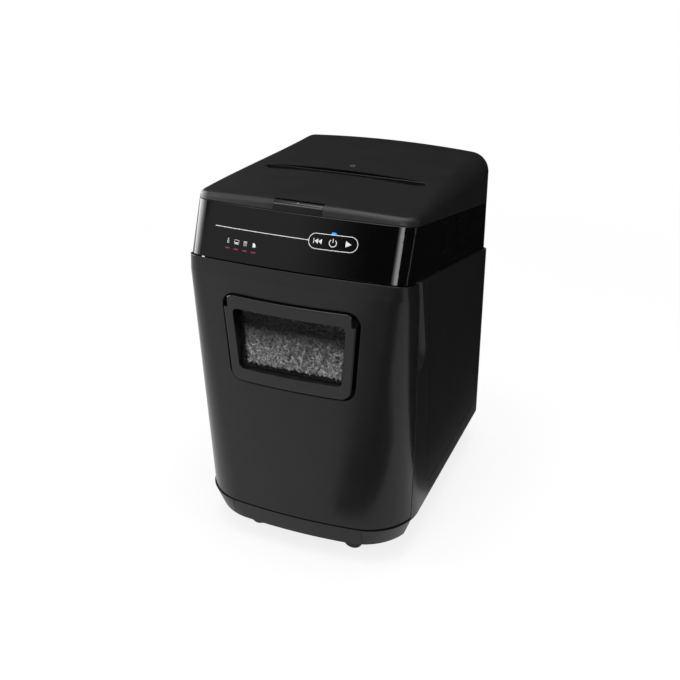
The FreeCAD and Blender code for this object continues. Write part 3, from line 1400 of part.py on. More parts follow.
group("tie_rods", [
    joined([rod("x", -S.plate_offset, *end, S.tie_radius, 2 * S.plate_offset),
            rod("x", -plate_outer, *end, S.tie_end_radius, 2 * plate_outer)])
    for end in tie_ends])


def bush(start, axis):
    """A bush in a side plate round a cutter shaft."""
    length = S.plate_thick + 2 * S.bush_proud
    return less(rod("x", start, *axis, bush_radius, length),
                [rod("x", start, *axis, S.cutter_shaft + S.run_clear, length)])


group("cutter_bushes", [bush(start - S.bush_proud, axis) for start in (-plate_outer, S.plate_offset)
                        for axis in (front_axis, rear_axis)])


def cutter(axis, shift):
    """A steel shaft with cutting discs; each disc is notched and turned a little from the last."""
    radius = S.cutter_radius.value
    thick = S.cutter_disc.value
    wide = S.notch_half.value
    over = radius + S.cutter_overlap.value
    corners = [V(0, -wide, over), V(0, wide, over), V(0, wide, radius), V(0, 0, radius - S.cutter_notch.value),
               V(0, -wide, radius)]
    notch = Part.Face(Part.makePolygon(corners + corners[:1])).extrude(V(thick, 0, 0))
    disc = Part.makeCylinder(radius, thick, V(), V(1, 0, 0))
    for index in range(int(S.notch_count.value)):
        tool = notch.copy()
        tool.rotate(V(), V(1, 0, 0), 360 * index / S.notch_count.value)
        disc = disc.cut(tool)
    discs = []
    for index in range(disc_count):
        copy = disc.copy()
        copy.rotate(V(), V(1, 0, 0), S.notch_turn.value * index)
        copy.translate(V(disc_start + shift + index * pitch.value, 0, 0))
        discs.append(copy)
    core = post("x", -S.cutter_half, 0, 0, S.cutter_core, 2 * S.cutter_half)
    shaft = post("x", gear_low - S.bush_proud, 0, 0, S.cutter_shaft, plate_outer + S.shaft_proud - gear_low)
    body = core.multiFuse(discs + [shaft])
    body.translate(V(0, axis[0].value, axis[1].value))
    return body


shaped("cutter_front", cutter(front_axis, 0))
shaped("cutter_rear", cutter(rear_axis, pitch.value / 2))


def comb(axis, side, shift):
    """A bar whose fingers reach into the gaps of one cutter and strip the paper off."""
    def span(near, far):
        return sorted((axis[0] + side * near, axis[0] + side * far), key=float)

    bar_in = S.cutter_radius + S.comb_gap
    bar = block(both(S.plate_offset - S.comb_side_gap), span(bar_in, bar_in + S.comb_bar),
                both(S.comb_height / 2, axis[1]))
    fingers = []
    for index in range(disc_count - 1):
        x = disc_start + shift + S.cutter_disc + index * pitch.value
        fingers.append(block((x + S.comb_side_gap, x + S.cutter_gap - S.comb_side_gap),
                             span(S.cutter_core, bar_in), both(S.comb_finger / 2, axis[1])))
    clear = post("x", -S.plate_offset, *axis, S.cutter_core + S.comb_clear, 2 * S.plate_offset)
    return bar.multiFuse(fingers).cut(clear)


shaped("stripper_combs", Part.makeCompound([comb(front_axis, -1, 0), comb(rear_axis, 1, pitch.value / 2)]))

# ---------------------------------------------------------------- gears


def involute_gear(teeth, module, turn, span, point, bore):
    """A spur gear on an axis along X; turn is the angle of one tooth's middle from +Y towards +Z."""
    teeth = int(float(teeth))
    low, high = [float(size(place)) for place in span]
    radius = teeth * module / 2
    pressure = math.radians(S.pressure_angle.value)
    base = radius * math.cos(pressure)
    tip = radius + S.tooth_tip.value * module
    root = radius - S.tooth_root.value * module
    thick = math.pi / (2 * teeth) - S.backlash.value * module / radius / 2

    def spread(r):
        """Half the tooth's angle at a radius on the involute flank."""
        angle = math.acos(min(1, base / max(r, base)))
        return thick + (math.tan(pressure) - pressure) - (math.tan(angle) - angle)

    steps = 5
    start = max(base, root)
    radii = [start + (tip - start) * step / steps for step in range(steps + 1)]
    points = []
    for index in range(teeth):
        middle = math.radians(turn) + 2 * math.pi * index / teeth
        flank = [(root, middle - spread(start))] if root < start else []
        flank += [(r, middle - spread(r)) for r in radii]
        back = [(r, 2 * middle - angle) for r, angle in reversed(flank)]
        points += [V(0, r * math.cos(a), r * math.sin(a)) for r, a in flank + back]
    gear = Part.Face(Part.makePolygon(points + points[:1])).extrude(V(high - low, 0, 0))
    gear = gear.cut(Part.makeCylinder(float(size(bore)), high - low, V(), V(1, 0, 0)))
    gear.translate(V(low, *point))
    return gear


def mesh_turn(first, first_teeth, first_turn, second, second_teeth):
    """The turn that puts a gap of the second gear over the tooth of the first where they meet."""
    way = math.degrees(math.atan2(second[1] - first[1], second[0] - first[0]))
    step = 360 / first_teeth.value
    offset = (first_turn - way + step / 2) % step - step / 2
    return way + 180 - offset * first_teeth.value / second_teeth.value + 180 / second_teeth.value


def coarse_gear(teeth, turn, point, bore):
    return involute_gear(teeth, coarse_module, turn, (gear_low, gear_high), point, bore)


def fine_gear(teeth, turn, point, bore):
    return involute_gear(teeth, S.large_module.value, turn, (large_low, large_high), point, bore)


front_turn = 0.0
rear_turn = mesh_turn(front_point, S.cutter_teeth, front_turn, rear_point, S.cutter_teeth)
small_turn = mesh_turn(rear_point, S.cutter_teeth, rear_turn, reduction_point, S.small_teeth)
pinion_turn = mesh_turn(reduction_point, S.large_teeth, small_turn, motor_point, S.pinion_teeth)
idler_turn = mesh_turn(front_point, S.cutter_teeth, front_turn, idler_point, S.idler_teeth)
feed_turn = mesh_turn(idler_point, S.idler_teeth, idler_turn, feed_point, S.feed_teeth)
stud_bore = S.stud_radius + S.run_clear


def reduction_gear():
    """A small and a large gear on one stud, joined by a short hub."""
    small = coarse_gear(S.small_teeth, small_turn, reduction_point, stud_bore)
    large = fine_gear(S.large_teeth, small_turn, reduction_point, stud_bore)
    hub_radius = small_radius - S.tooth_root.value * coarse_module - S.fit_gap.value
    hub = post("x", large_high - S.plane_gap / 2, *reduction_point, hub_radius, 2 * S.plane_gap)
    hub = hub.cut(post("x", large_low, *reduction_point, stud_bore, S.large_width + S.gear_width))
    return small.fuse(large).fuse(hub).removeSplitter()


shaped("cutter_gear_front", coarse_gear(S.cutter_teeth, front_turn, front_point, S.cutter_shaft))
shaped("cutter_gear_rear", coarse_gear(S.cutter_teeth, rear_turn, rear_point, S.cutter_shaft))
shaped("reduction_gear", reduction_gear())
shaped("feed_idler", coarse_gear(S.idler_teeth, idler_turn, idler_point, stud_bore))
shaped("feed_gear", coarse_gear(S.feed_teeth, feed_turn, feed_point, S.feed_shaft_radius))


def stud(point, gear_end):
    """A headed stud in the left plate that carries a gear."""
    low = gear_end - S.plane_gap / 2
    return joined([rod("x", low, *point, S.stud_radius, -S.plate_offset - low),
                   rod("x", low - S.stud_head, *point, S.stud_radius + S.stud_head, S.stud_head)])


group("gear_studs", [stud(reduction_point, large_low), stud(idler_point, gear_low)])

# ---------------------------------------------------------------- motor, fan and feed rollers

can_x = (-S.plate_offset, -S.plate_offset + S.motor_length)
fan_low = can_x[1] + S.fan_gap


def motor_housing():
    """Motor can on the left plate: closed ends with bearings, and a mounting foot on the deck."""
    piece = Piece("motor_housing")
    y, z = motor_point
    foot_y = both(S.foot_half, y)
    top = z - S.motor_radius + S.foot_lap
    piece.pad("yz", grown(can_x, -S.foot_inset),
              [(foot_y[0], deck_at(foot_y[0]) + S.deck_thick), (foot_y[1], deck_at(foot_y[1]) + S.deck_thick),
               (foot_y[1], top), (foot_y[0], top)])
    piece.pad("yz", can_x, (y, z, S.motor_radius))
    piece.pocket("yz", grown(can_x, -S.motor_end), (y, z, S.motor_radius - S.motor_wall))
    piece.pocket("yz", can_x, (y, z, S.motor_shaft + S.run_clear))


motor_housing()


def motor_rotor():
    """Armature, shaft and the pinion cut on the shaft's end."""
    shaft_end = fan_low + S.fan_width + S.fan_gap
    shaft = post("x", large_high, *motor_point, S.motor_shaft, shaft_end - large_high)
    armature = post("x", can_x[0] + S.armature_inset, *motor_point,
                    S.motor_radius - S.motor_wall - S.armature_gap, S.motor_length - 2 * S.armature_inset)
    bore = S.motor_shaft / 2
    pinion = fine_gear(S.pinion_teeth, pinion_turn, motor_point, bore)
    pinion = pinion.fuse(post("x", large_low, *motor_point, bore, S.large_width))
    return shaft.fuse(armature).fuse(pinion).removeSplitter()


shaped("motor_rotor", motor_rotor())


def cooling_fan():
    """Fan on the motor's free end: a hub with tilted flat blades."""
    low = float(fan_low)
    middle = low + S.fan_width.value / 2
    wide = S.fan_blade_width.value
    root = S.fan_hub.value - S.fan_blade_thick.value
    blades = []
    for index in range(int(S.fan_count.value)):
        blade = Part.makeBox(wide, S.fan_blade.value, S.fan_blade_thick.value,
                             V(middle - wide / 2, root, -S.fan_blade_thick.value / 2))
        blade.rotate(V(middle, 0, 0), V(0, 1, 0), S.fan_blade_tilt.value)
        blade.rotate(V(), V(1, 0, 0), 360 * index / S.fan_count.value)
        blade.translate(V(0, *motor_point))
        blades.append(blade)
    hub = post("x", low, *motor_point, S.fan_hub, S.fan_width)
    return hub.multiFuse(blades).cut(post("x", low, *motor_point, S.motor_shaft, S.fan_width)).removeSplitter()


shaped("cooling_fan", cooling_fan())


def feed_shaft():
    """Shaft of the feed rollers, from its gear on the left to the right plate."""
    piece = Piece("feed_shaft")
    low = gear_low - S.plane_gap
    high = plate_outer + S.gear_gap
    piece.revolve("H_Axis", rectangle((low, high), (0, S.feed_shaft_radius)))
    piece.at(0, feed_y, feed_z)


feed_shaft()


def feed_roller(x):
    """Rubber roller with three shallow grip grooves."""
    low = x - S.roller_length / 2
    tyre = post("x", low, feed_y, feed_z, S.roller_radius, S.roller_length)
    for offset in (-1, 0, 1):
        start = x + offset * S.groove_pitch - S.roller_groove
        ring = post("x", start, feed_y, feed_z, S.roller_radius + S.wall, 2 * S.roller_groove)
        tyre = tyre.cut(ring.cut(post("x", start, feed_y, feed_z, S.roller_radius - S.roller_groove,
                                      2 * S.roller_groove)))
    return tyre.cut(post("x", low, feed_y, feed_z, S.feed_shaft_radius, S.roller_length))


shaped("feed_rollers", Part.makeCompound([feed_roller(x) for x in both(S.roller_offset)]))

# ---------------------------------------------------------------- boards and switches


def along_deck(y, low, high):
    """A band between two rises from the deck's underside, over the pair of places y."""
    return [(y[0], deck_at(y[0]) + low), (y[1], deck_at(y[1]) + low),
            (y[1], deck_at(y[1]) + high), (y[0], deck_at(y[0]) + high)]


def power_board():
    """Board on four feet behind the front with a transformer, a relay and two capacitors."""
    piece = Piece("power_board")
    y = (band_front + S.board_start, plate_y[0] - S.board_end)
    top = S.board_rise + S.board_thick
    part_y = grown(y, -S.board_start)
    parts_high = top + S.part_height
    piece.pad("yz", both(S.board_half), along_deck(y, S.board_rise, top))
    transformer_x = (-S.board_half + S.board_start, -S.board_start)
    piece.pad("yz", transformer_x, along_deck(part_y, S.board_rise, parts_high))
    piece.pad("yz", (0, S.board_start), along_deck(part_y, S.board_rise, top + S.part_height / 2))
    for x in (S.board_half / 2, S.board_half / 2 + S.board_start):
        piece.pad("yz", both(S.board_start / 3, x),
                  along_deck(both(S.board_start / 3, (y[0] + y[1]) / 2), S.board_rise, parts_high))
    for x in both(S.board_half - S.board_foot_inset):
        for middle in grown(y, -S.board_foot_inset):
            piece.pad("yz", both(S.board_foot, x), along_deck(both(S.board_foot, middle), S.deck_thick, top))


power_board()


def interlock_switches():
    """One switch under the lid's seam and one on the deck behind the bin's rim."""
    lid_y = (seam_front + S.lid_switch_start, seam_front + S.lid_switch_end)
    lid_z = (seam_at(lid_y[1]) - S.switch_tall, seam_height)
    lid_switch = block(both(S.switch_half, S.lid_switch_x), lid_y, lid_z)
    lid_switch = lid_switch.common(below_seam(-S.switch_gap))
    bin_y = both(S.bin_switch_half, rear / 2)
    bin_switch = block(both(S.switch_half, S.bin_switch_x), bin_y, (0, deck_at(bin_y[0]) + S.bin_switch_tall))
    return Part.makeCompound([lid_switch, bin_switch.common(above_deck(S.deck_thick))])


shaped("interlock_switches", interlock_switches())

# ---------------------------------------------------------------- cord gland and power rocker


def cord_gland():
    """Flanged sleeve in the rear wall for the mains cord."""
    piece = Piece("cord_gland")
    inner = rear - S.wall
    end = rear - S.gland_length
    piece.revolve("V_Axis", [(S.gland_radius, end), (S.gland_flange, end), (S.gland_flange, inner),
                             (gland_outer, inner), (gland_outer, rear), (S.gland_radius, rear)])
    piece.at(rear_x, 0, gland_z)


cord_gland()

rocker_y = rear - S.rocker_pivot
rocker_half = S.rocker_width / 2
pin_reach = rocker_half + S.rocker_pin_length
rocker_inner = rear - S.rocker_depth
keep("rocker_housing", less(
    box(rocker_frame_x, (rocker_inner, rear - S.rocker_sunk), rocker_frame_z),
    [box(both(rocker_half, rear_x), (rocker_inner + S.rocker_floor, rear), both(S.rocker_height / 2, rocker_z)),
     rod("x", rear_x - pin_reach, rocker_y, rocker_z, S.rocker_pin + S.run_clear, 2 * pin_reach)]))


def power_rocker():
    """Paddle with two sloping faces on stub pins, stored with its lower half pressed in."""
    wide = rocker_half - S.rocker_gap
    tall = (S.rocker_height / 2 - S.rocker_tip_gap).value
    front_face, back = S.rocker_front.value, S.rocker_back.value
    slope = S.rocker_slope.value
    corners = [V(0, front_face, 0), V(0, front_face - slope, tall), V(0, slope - back, tall), V(0, -back, 0),
               V(0, slope - back, -tall), V(0, front_face - slope, -tall)]
    paddle = Part.Face(Part.makePolygon(corners + corners[:1])).extrude(V(2 * wide.value, 0, 0))
    paddle.translate(V(-wide.value, 0, 0))
    pin = wide + S.rocker_pin_length
    paddle = paddle.fuse(post("x", -pin, 0, 0, S.rocker_pin, 2 * pin))
    paddle.rotate(V(), V(1, 0, 0), -S.rocker_angle.value)
    paddle.translate(V(float(rear_x), float(rocker_y), float(rocker_z)))
    return paddle.removeSplitter()


shaped("power_rocker", power_rocker())

# ---------------------------------------------------------------- casters


def caster_socket(x, y):
    """A sleeve in the base's boss that the caster's stem turns in."""
    length = plate_low - fork_top
    return less(rod("z", x, y, fork_top + S.socket_drop, socket_radius, length - S.socket_drop),
                [rod("z", x, y, fork_top, S.stem_radius + S.run_clear, length - S.socket_drop)])


group("caster_sockets", [caster_socket(x, y) for _, x, y in caster_places()])


CASTER_TURNS = {"front_left": S.caster_turn_left, "front_right": S.caster_turn_right}


def caster(corner, x, y):
    """A fork on a turning stem, and a wheel on the fork's axle behind the stem; the front ones stand turned."""
    turn = CASTER_TURNS.get(corner, size(0)).value
    cheek_in = S.wheel_width / 2 + S.fork_clear
    cheek_out = cheek_in + S.fork_thick
    trail = S.caster_trail
    bridge = fork_top - S.fork_bridge
    foot = S.wheel_radius - S.fork_foot_drop
    cheek = [(trail - S.fork_foot, foot), (trail + S.fork_foot, foot), (S.fork_half, bridge),
             (S.fork_half, fork_top), (-S.fork_half, fork_top), (-S.fork_half, bridge)]
    fork = Piece(f"caster_fork_{corner}")
    fork.pad("yz", both(cheek_out), cheek)
    fork.pocket("yz", both(cheek_in), rectangle(both(S.wheel_radius * 2), (0, bridge)))
    fork.pad("xy", (bridge, plate_low - S.stem_gap), (0, 0, S.stem_radius))
    fork.pad("yz", both(cheek_out), (trail, S.wheel_radius, S.axle_radius))
    fork.at(x, y, 0, turn)
    wheel = Piece(f"caster_wheel_{corner}")
    side = S.wheel_width / 2
    bore = S.axle_radius + S.run_clear
    tread = side - S.wheel_edge
    shoulder = S.wheel_radius - S.wheel_edge
    wheel.revolve("H_Axis", [(-side, bore), (side, bore), (side, shoulder), (tread, S.wheel_radius),
                             (-tread, S.wheel_radius), (-side, shoulder)])
    swing = math.radians(turn)
    wheel.at(x - trail * math.sin(swing), y + trail * math.cos(swing), S.wheel_radius, turn)


for place_of_caster in caster_places():
    caster(*place_of_caster)

# ---------------------------------------------------------------- checks and files

doc.recompute()
for item in doc.Objects:
    if "Invalid" in item.State or "Error" in item.State:
        raise RuntimeError(f"{item.Label} failed: {item.State}")
for node in nodes:
    if node.Shape.isNull() or not node.Shape.isValid() or not node.Shape.Solids:
        raise RuntimeError(f"{node.Label} has no valid solid")
os.makedirs("parts", exist_ok=True)
for node in nodes:
    node.Shape.exportStep(f"parts/{node.Label}.step")
print(len(nodes), "nodes")
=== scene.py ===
import json
import math

import bpy
import numpy as np
from mathutils import Matrix, Vector


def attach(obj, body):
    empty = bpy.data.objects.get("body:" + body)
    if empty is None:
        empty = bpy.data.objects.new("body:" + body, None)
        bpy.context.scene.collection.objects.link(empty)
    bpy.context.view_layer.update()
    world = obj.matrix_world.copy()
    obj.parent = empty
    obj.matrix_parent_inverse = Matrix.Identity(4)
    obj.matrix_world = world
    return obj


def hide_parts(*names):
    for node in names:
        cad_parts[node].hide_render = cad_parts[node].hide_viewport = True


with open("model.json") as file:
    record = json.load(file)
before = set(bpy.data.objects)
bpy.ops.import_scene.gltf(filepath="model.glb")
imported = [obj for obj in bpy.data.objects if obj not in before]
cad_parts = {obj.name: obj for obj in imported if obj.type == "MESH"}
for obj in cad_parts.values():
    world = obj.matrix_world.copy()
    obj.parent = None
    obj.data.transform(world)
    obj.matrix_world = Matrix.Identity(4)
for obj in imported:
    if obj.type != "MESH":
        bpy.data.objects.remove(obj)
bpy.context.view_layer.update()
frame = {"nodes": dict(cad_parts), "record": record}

bl_info = {
    "name": "Paper shredder looks",
    "version": (1, 0, 0),
    "blender": (4, 5, 0),
    "location": "View3D > Sidebar > Shredder",
    "description": "Finishes, printed marks, paper shreds and studio for the paper shredder",
    "category": "Object",
}

MM = 0.001

# ---------------------------------------------------------------- sizes and colours a user may change


class ShredderSizes(bpy.types.PropertyGroup):
    """Lengths of the printed marks and of the shreds"""

    print_rise: bpy.props.FloatProperty(
        name="Print thickness", description="How far the ink stands out of the plastic", default=0.06 * MM,
        precision=6, subtype="DISTANCE")
    line_width: bpy.props.FloatProperty(
        name="Line width", description="Width of the outline round the keys", default=0.8 * MM,
        precision=5, subtype="DISTANCE")
    capsule_length: bpy.props.FloatProperty(
        name="Key outline length", description="Length of the outline round the keys", default=63 * MM,
        precision=4, subtype="DISTANCE")
    capsule_height: bpy.props.FloatProperty(
        name="Key outline height", description="Height of the outline round the keys", default=19 * MM,
        precision=4, subtype="DISTANCE")
    shred_length: bpy.props.FloatProperty(
        name="Shred length", description="Mean length of a cut piece of paper", default=12 * MM,
        precision=4, subtype="DISTANCE")
    shred_width: bpy.props.FloatProperty(
        name="Shred width", description="Mean width of a cut piece of paper", default=2.8 * MM,
        precision=4, subtype="DISTANCE")
    window_shreds: bpy.props.IntProperty(
        name="Shreds at the window", description="Number of shreds behind the window", default=5200,
        min=100)
    heap_shreds: bpy.props.IntProperty(
        name="Shreds on the heap", description="Number of shreds on top of the heap", default=5200, min=100)


def colour_property(name, description, value):
    return bpy.props.FloatVectorProperty(name=name, description=description, default=value, size=4,
                                         min=0.0, max=1.0, subtype="COLOR")


class ShredderColours(bpy.types.PropertyGroup):
    """Colours of the finishes"""

    satin: colour_property("Satin plastic", "Housing, lid and bin front", (0.0085, 0.0085, 0.0090, 1))
    gloss: colour_property("Gloss plastic", "Band, window frame and keys", (0.0016, 0.0016, 0.0018, 1))
    inner: colour_property("Inner plastic", "Parts inside the machine", (0.016, 0.016, 0.018, 1))
    ink: colour_property("Ink", "Printed lines and symbols", (0.62, 0.62, 0.63, 1))
    paper: colour_property("Paper", "Shredded paper", (0.86, 0.86, 0.85, 1))
    lamp: colour_property("Power light", "Glow of the power light", (0.015, 0.18, 0.62, 1))
    status: colour_property("Status lights", "Bars under the status symbols", (0.16, 0.006, 0.02, 1))


class StudioSettings(bpy.types.PropertyGroup):
    """Light of the studio"""

    top_light: bpy.props.FloatProperty(
        name="Top light", description="Power of the soft light overhead", default=30.0, min=0.0,
        unit="POWER")
    left_light: bpy.props.FloatProperty(
        name="Left light", description="Power of the soft light on the left", default=14.0, min=0.0,
        unit="POWER")
    right_light: bpy.props.FloatProperty(
        name="Right light", description="Power of the soft light on the right", default=6.0, min=0.0,
        unit="POWER")
    front_light: bpy.props.FloatProperty(
        name="Front light", description="Power of the soft light in front", default=14.0, min=0.0,
        unit="POWER")
    surround: bpy.props.FloatProperty(
        name="Surround", description="Strength of the even light from all round", default=0.5, min=0.0)


# ---------------------------------------------------------------- shader maths


class Value:
    """A shader socket; arithmetic on it adds Math nodes."""

    def __init__(self, shader, link):
        self.shader = shader
        self.link = link

    def math(self, operation, *values):
        return self.shader.add("ShaderNodeMath", {"operation": operation}, dict(enumerate(values)))

    def __add__(self, other):
        return self.math("ADD", self, other)

    def __radd__(self, other):
        return self.math("ADD", other, self)

    def __rsub__(self, other):
        return self.math("SUBTRACT", other, self)

    def __mul__(self, other):
        return self.math("MULTIPLY", self, other)

    def __rmul__(self, other):
        return self.math("MULTIPLY", other, self)

    def __gt__(self, other):
        return self.math("GREATER_THAN", self, other)

    def __or__(self, other):
        return self.math("MAXIMUM", self, other)


class Shader:
    """The nodes of one material or world, with patterns on the object's own coordinates."""

    def __init__(self, owner):
        self.owner = owner
        owner.use_nodes = True
        self.tree = owner.node_tree
        self.tree.nodes.clear()

    def add(self, kind, settings, inputs, output=0):
        """Adds a node: its settings first, then the values or links of its sockets."""
        node = self.tree.nodes.new(kind)
        for name, value in settings.items():
            setattr(node, name, value)
        for name, value in inputs.items():
            socket = node.inputs[name]
            if isinstance(value, Value):
                self.tree.links.new(value.link, socket)
            else:
                socket.default_value = value
        return Value(self, node.outputs[output]) if len(node.outputs) else node

    def place(self):
        """The point's own place on its object."""
        return self.add("ShaderNodeTexCoord", {}, {}, "Object")

    def noise(self, size, detail=2.0, stretch=(1, 1, 1), roughness=0.5):
        """Cloudy noise whose features are about size metres across, longer where stretch is over 1."""
        shrink = [1 / value for value in stretch]
        scaled = self.add("ShaderNodeMapping", {}, {"Vector": self.place(), "Scale": shrink})
        return self.add("ShaderNodeTexNoise", {}, {
            "Vector": scaled, "Scale": 1 / size, "Detail": detail, "Roughness": roughness}, "Fac")

    def grains(self, size):
        """Distance to the nearest of many scattered points about size metres apart."""
        return self.add("ShaderNodeTexVoronoi", {}, {"Vector": self.place(), "Scale": 1 / size}, "Distance")

    def tint(self, share, first, second):
        """A colour between two colours."""
        return self.add("ShaderNodeMix", {"data_type": "RGBA"}, {0: share, 6: first, 7: second}, 2)

    def ramp(self, value, first, last, start, end):
        """Goes smoothly from start to end while the value goes from first to last."""
        return self.add("ShaderNodeMapRange", {"interpolation_type": "SMOOTHSTEP"}, {
            "Value": value, "From Min": first, "From Max": last, "To Min": start, "To Max": end})

    def seen(self):
        """1 for rays from the camera and from mirrors and glass, and 0 for those that carry light."""
        rays = self.add("ShaderNodeLightPath", {}, {}, "Is Camera Ray")
        outputs = rays.link.node.outputs
        return rays | Value(self, outputs["Is Glossy Ray"]) | Value(self, outputs["Is Transmission Ray"])

    def bump(self, height, depth, strength=1.0):
        """A normal tilted by a height pattern."""
        return self.add("ShaderNodeBump", {}, {
            "Height": height, "Distance": depth, "Strength": strength}, "Normal")

    def surface(self, values):
        """A Principled surface; returns the material."""
        self.add("ShaderNodeOutputMaterial", {},
                 {"Surface": self.add("ShaderNodeBsdfPrincipled", {}, values, "BSDF")})
        return self.owner


def shader(name):
    return Shader(bpy.data.materials.new(name))


def lighter(colour, factor):
    return [min(1.0, part * factor) for part in colour[:3]] + [1.0]


# ---------------------------------------------------------------- finishes


def moulded_plastic(name, colour, roughness, grain=0.55 * MM, depth=0.022 * MM, specular=0.22):
    """Spark-textured moulded plastic: fine even grain, and slightly cloudy colour and sheen."""
    nodes = shader(name)
    cloud = nodes.noise(38 * MM, 3.0)
    texture = nodes.noise(grain, 2.0, roughness=0.65)
    tone = nodes.tint(cloud, lighter(colour, 0.86), lighter(colour, 1.16))
    return nodes.surface({
        "Base Color": tone,
        "Roughness": roughness - 0.03 + 0.06 * cloud + 0.05 * texture,
        "Specular IOR Level": specular,
        "Normal": nodes.bump(texture, depth)})


def piano_plastic(name, colour, roughness=0.055, specular=0.3):
    """Polished plastic: a faint flow ripple, and a little dust that dulls the gloss in places."""
    nodes = shader(name)
    ripple = nodes.noise(34 * MM, 1.0)
    dust = nodes.noise(0.6 * MM, 4.0, roughness=0.7)
    film = nodes.noise(55 * MM, 2.0)
    dull = (dust > 0.66) * 0.05
    return nodes.surface({
        "Base Color": nodes.tint(film, colour, lighter(colour, 1.25)),
        "Roughness": roughness + 0.03 * film + dull,
        "Specular IOR Level": specular,
        "Normal": nodes.bump(ripple, 0.02 * MM, 0.35)})


def turned_metal(name, colour, roughness, along=(14, 1, 1)):
    """Machined metal: fine lines round the axis, and cloudy handling marks."""
    nodes = shader(name)
    lines = nodes.noise(0.35 * MM, 2.0, stretch=along)
    cloud = nodes.noise(16 * MM, 3.0)
    return nodes.surface({
        "Base Color": nodes.tint(cloud, lighter(colour, 0.84), lighter(colour, 1.08)),
        "Metallic": 1.0,
        "Roughness": roughness - 0.05 + 0.1 * cloud + 0.08 * lines,
        "Normal": nodes.bump(lines, 0.008 * MM)})


def painted_steel(name, colour):
    """Baked paint on a pressed can, with a fine orange peel."""
    nodes = shader(name)
    peel = nodes.noise(1.4 * MM, 1.0)
    cloud = nodes.noise(20 * MM, 2.0)
    return nodes.surface({
        "Base Color": nodes.tint(cloud, lighter(colour, 0.9), lighter(colour, 1.1)),
        "Roughness": 0.36 + 0.08 * cloud,
        "Normal": nodes.bump(peel, 0.02 * MM)})


def rubber(name, colour):
    """Matt rubber with a pitted skin and pale dust in cloudy patches."""
    nodes = shader(name)
    pits = nodes.grains(0.9 * MM)
    cloud = nodes.noise(9 * MM, 3.0)
    return nodes.surface({
        "Base Color": nodes.tint(cloud, colour, lighter(colour, 1.7)),
        "Roughness": 0.74 + 0.14 * cloud,
        "Specular IOR Level": 0.3,
        "Normal": nodes.bump(pits, 0.03 * MM)})


def circuit_board(name):
    """Green solder mask with paler tracks and round pads."""
    nodes = shader(name)
    tracks = nodes.noise(3.2 * MM, 0.0, stretch=(5, 1, 1))
    pads = nodes.grains(5 * MM)
    copper = (tracks > 0.56) | (1.0 - pads > 0.84)
    return nodes.surface({
        "Base Color": nodes.tint(copper, (0.008, 0.075, 0.028, 1), (0.03, 0.17, 0.07, 1)),
        "Roughness": 0.34 + 0.12 * tracks,
        "Normal": nodes.bump(copper, 0.03 * MM)})


def lit_plastic(name, colour, strength):
    """Clear coloured plastic over a small lamp, with a cloudy glow."""
    nodes = shader(name)
    cloud = nodes.noise(2.4 * MM, 1.0)
    return nodes.surface({
        "Base Color": nodes.tint(cloud, lighter(colour, 0.8), colour),
        "Roughness": 0.22 + 0.1 * cloud,
        "Emission Color": nodes.tint(cloud, lighter(colour, 0.75), colour),
        "Emission Strength": strength})


def clear_plastic(name):
    """Thin window plastic: a nearly clear dark veil over what lies behind, with a faint haze."""
    nodes = shader(name)
    haze = nodes.noise(22 * MM, 2.0)
    return nodes.surface({
        "Base Color": nodes.tint(haze, (0.02, 0.021, 0.023, 1), (0.035, 0.036, 0.039, 1)),
        "Roughness": 0.05 + 0.04 * haze,
        "Alpha": 0.06 + 0.03 * haze})


def shred_paper(name, colour):
    """Office paper: each shred's tone and painted shade come from an attribute; grey streaks where it was
    printed.
    """
    nodes = shader(name)
    shade = nodes.add("ShaderNodeAttribute", {"attribute_name": "shade"}, {}, "Fac")
    fibres = nodes.noise(0.5 * MM, 3.0)
    streaks = nodes.noise(2.6 * MM, 1.0, stretch=(1, 1, 0.5))
    printed = (streaks > 0.63) * 0.55
    tone = nodes.tint(shade * (1.0 - printed), (0.012, 0.012, 0.013, 1), colour)
    return nodes.surface({
        "Base Color": tone,
        "Roughness": 0.82 + 0.1 * fibres,
        "Specular IOR Level": 0.2,
        "Normal": nodes.bump(fibres, 0.03 * MM)})


def printed_ink(name, colour):
    """Pad-printed ink with slightly uneven cover."""
    nodes = shader(name)
    cover = nodes.noise(0.5 * MM, 2.0)
    return nodes.surface({
        "Base Color": nodes.tint(cover, lighter(colour, 0.88), colour),
        "Roughness": 0.42 + 0.12 * cover,
        "Normal": nodes.bump(cover, 0.01 * MM)})


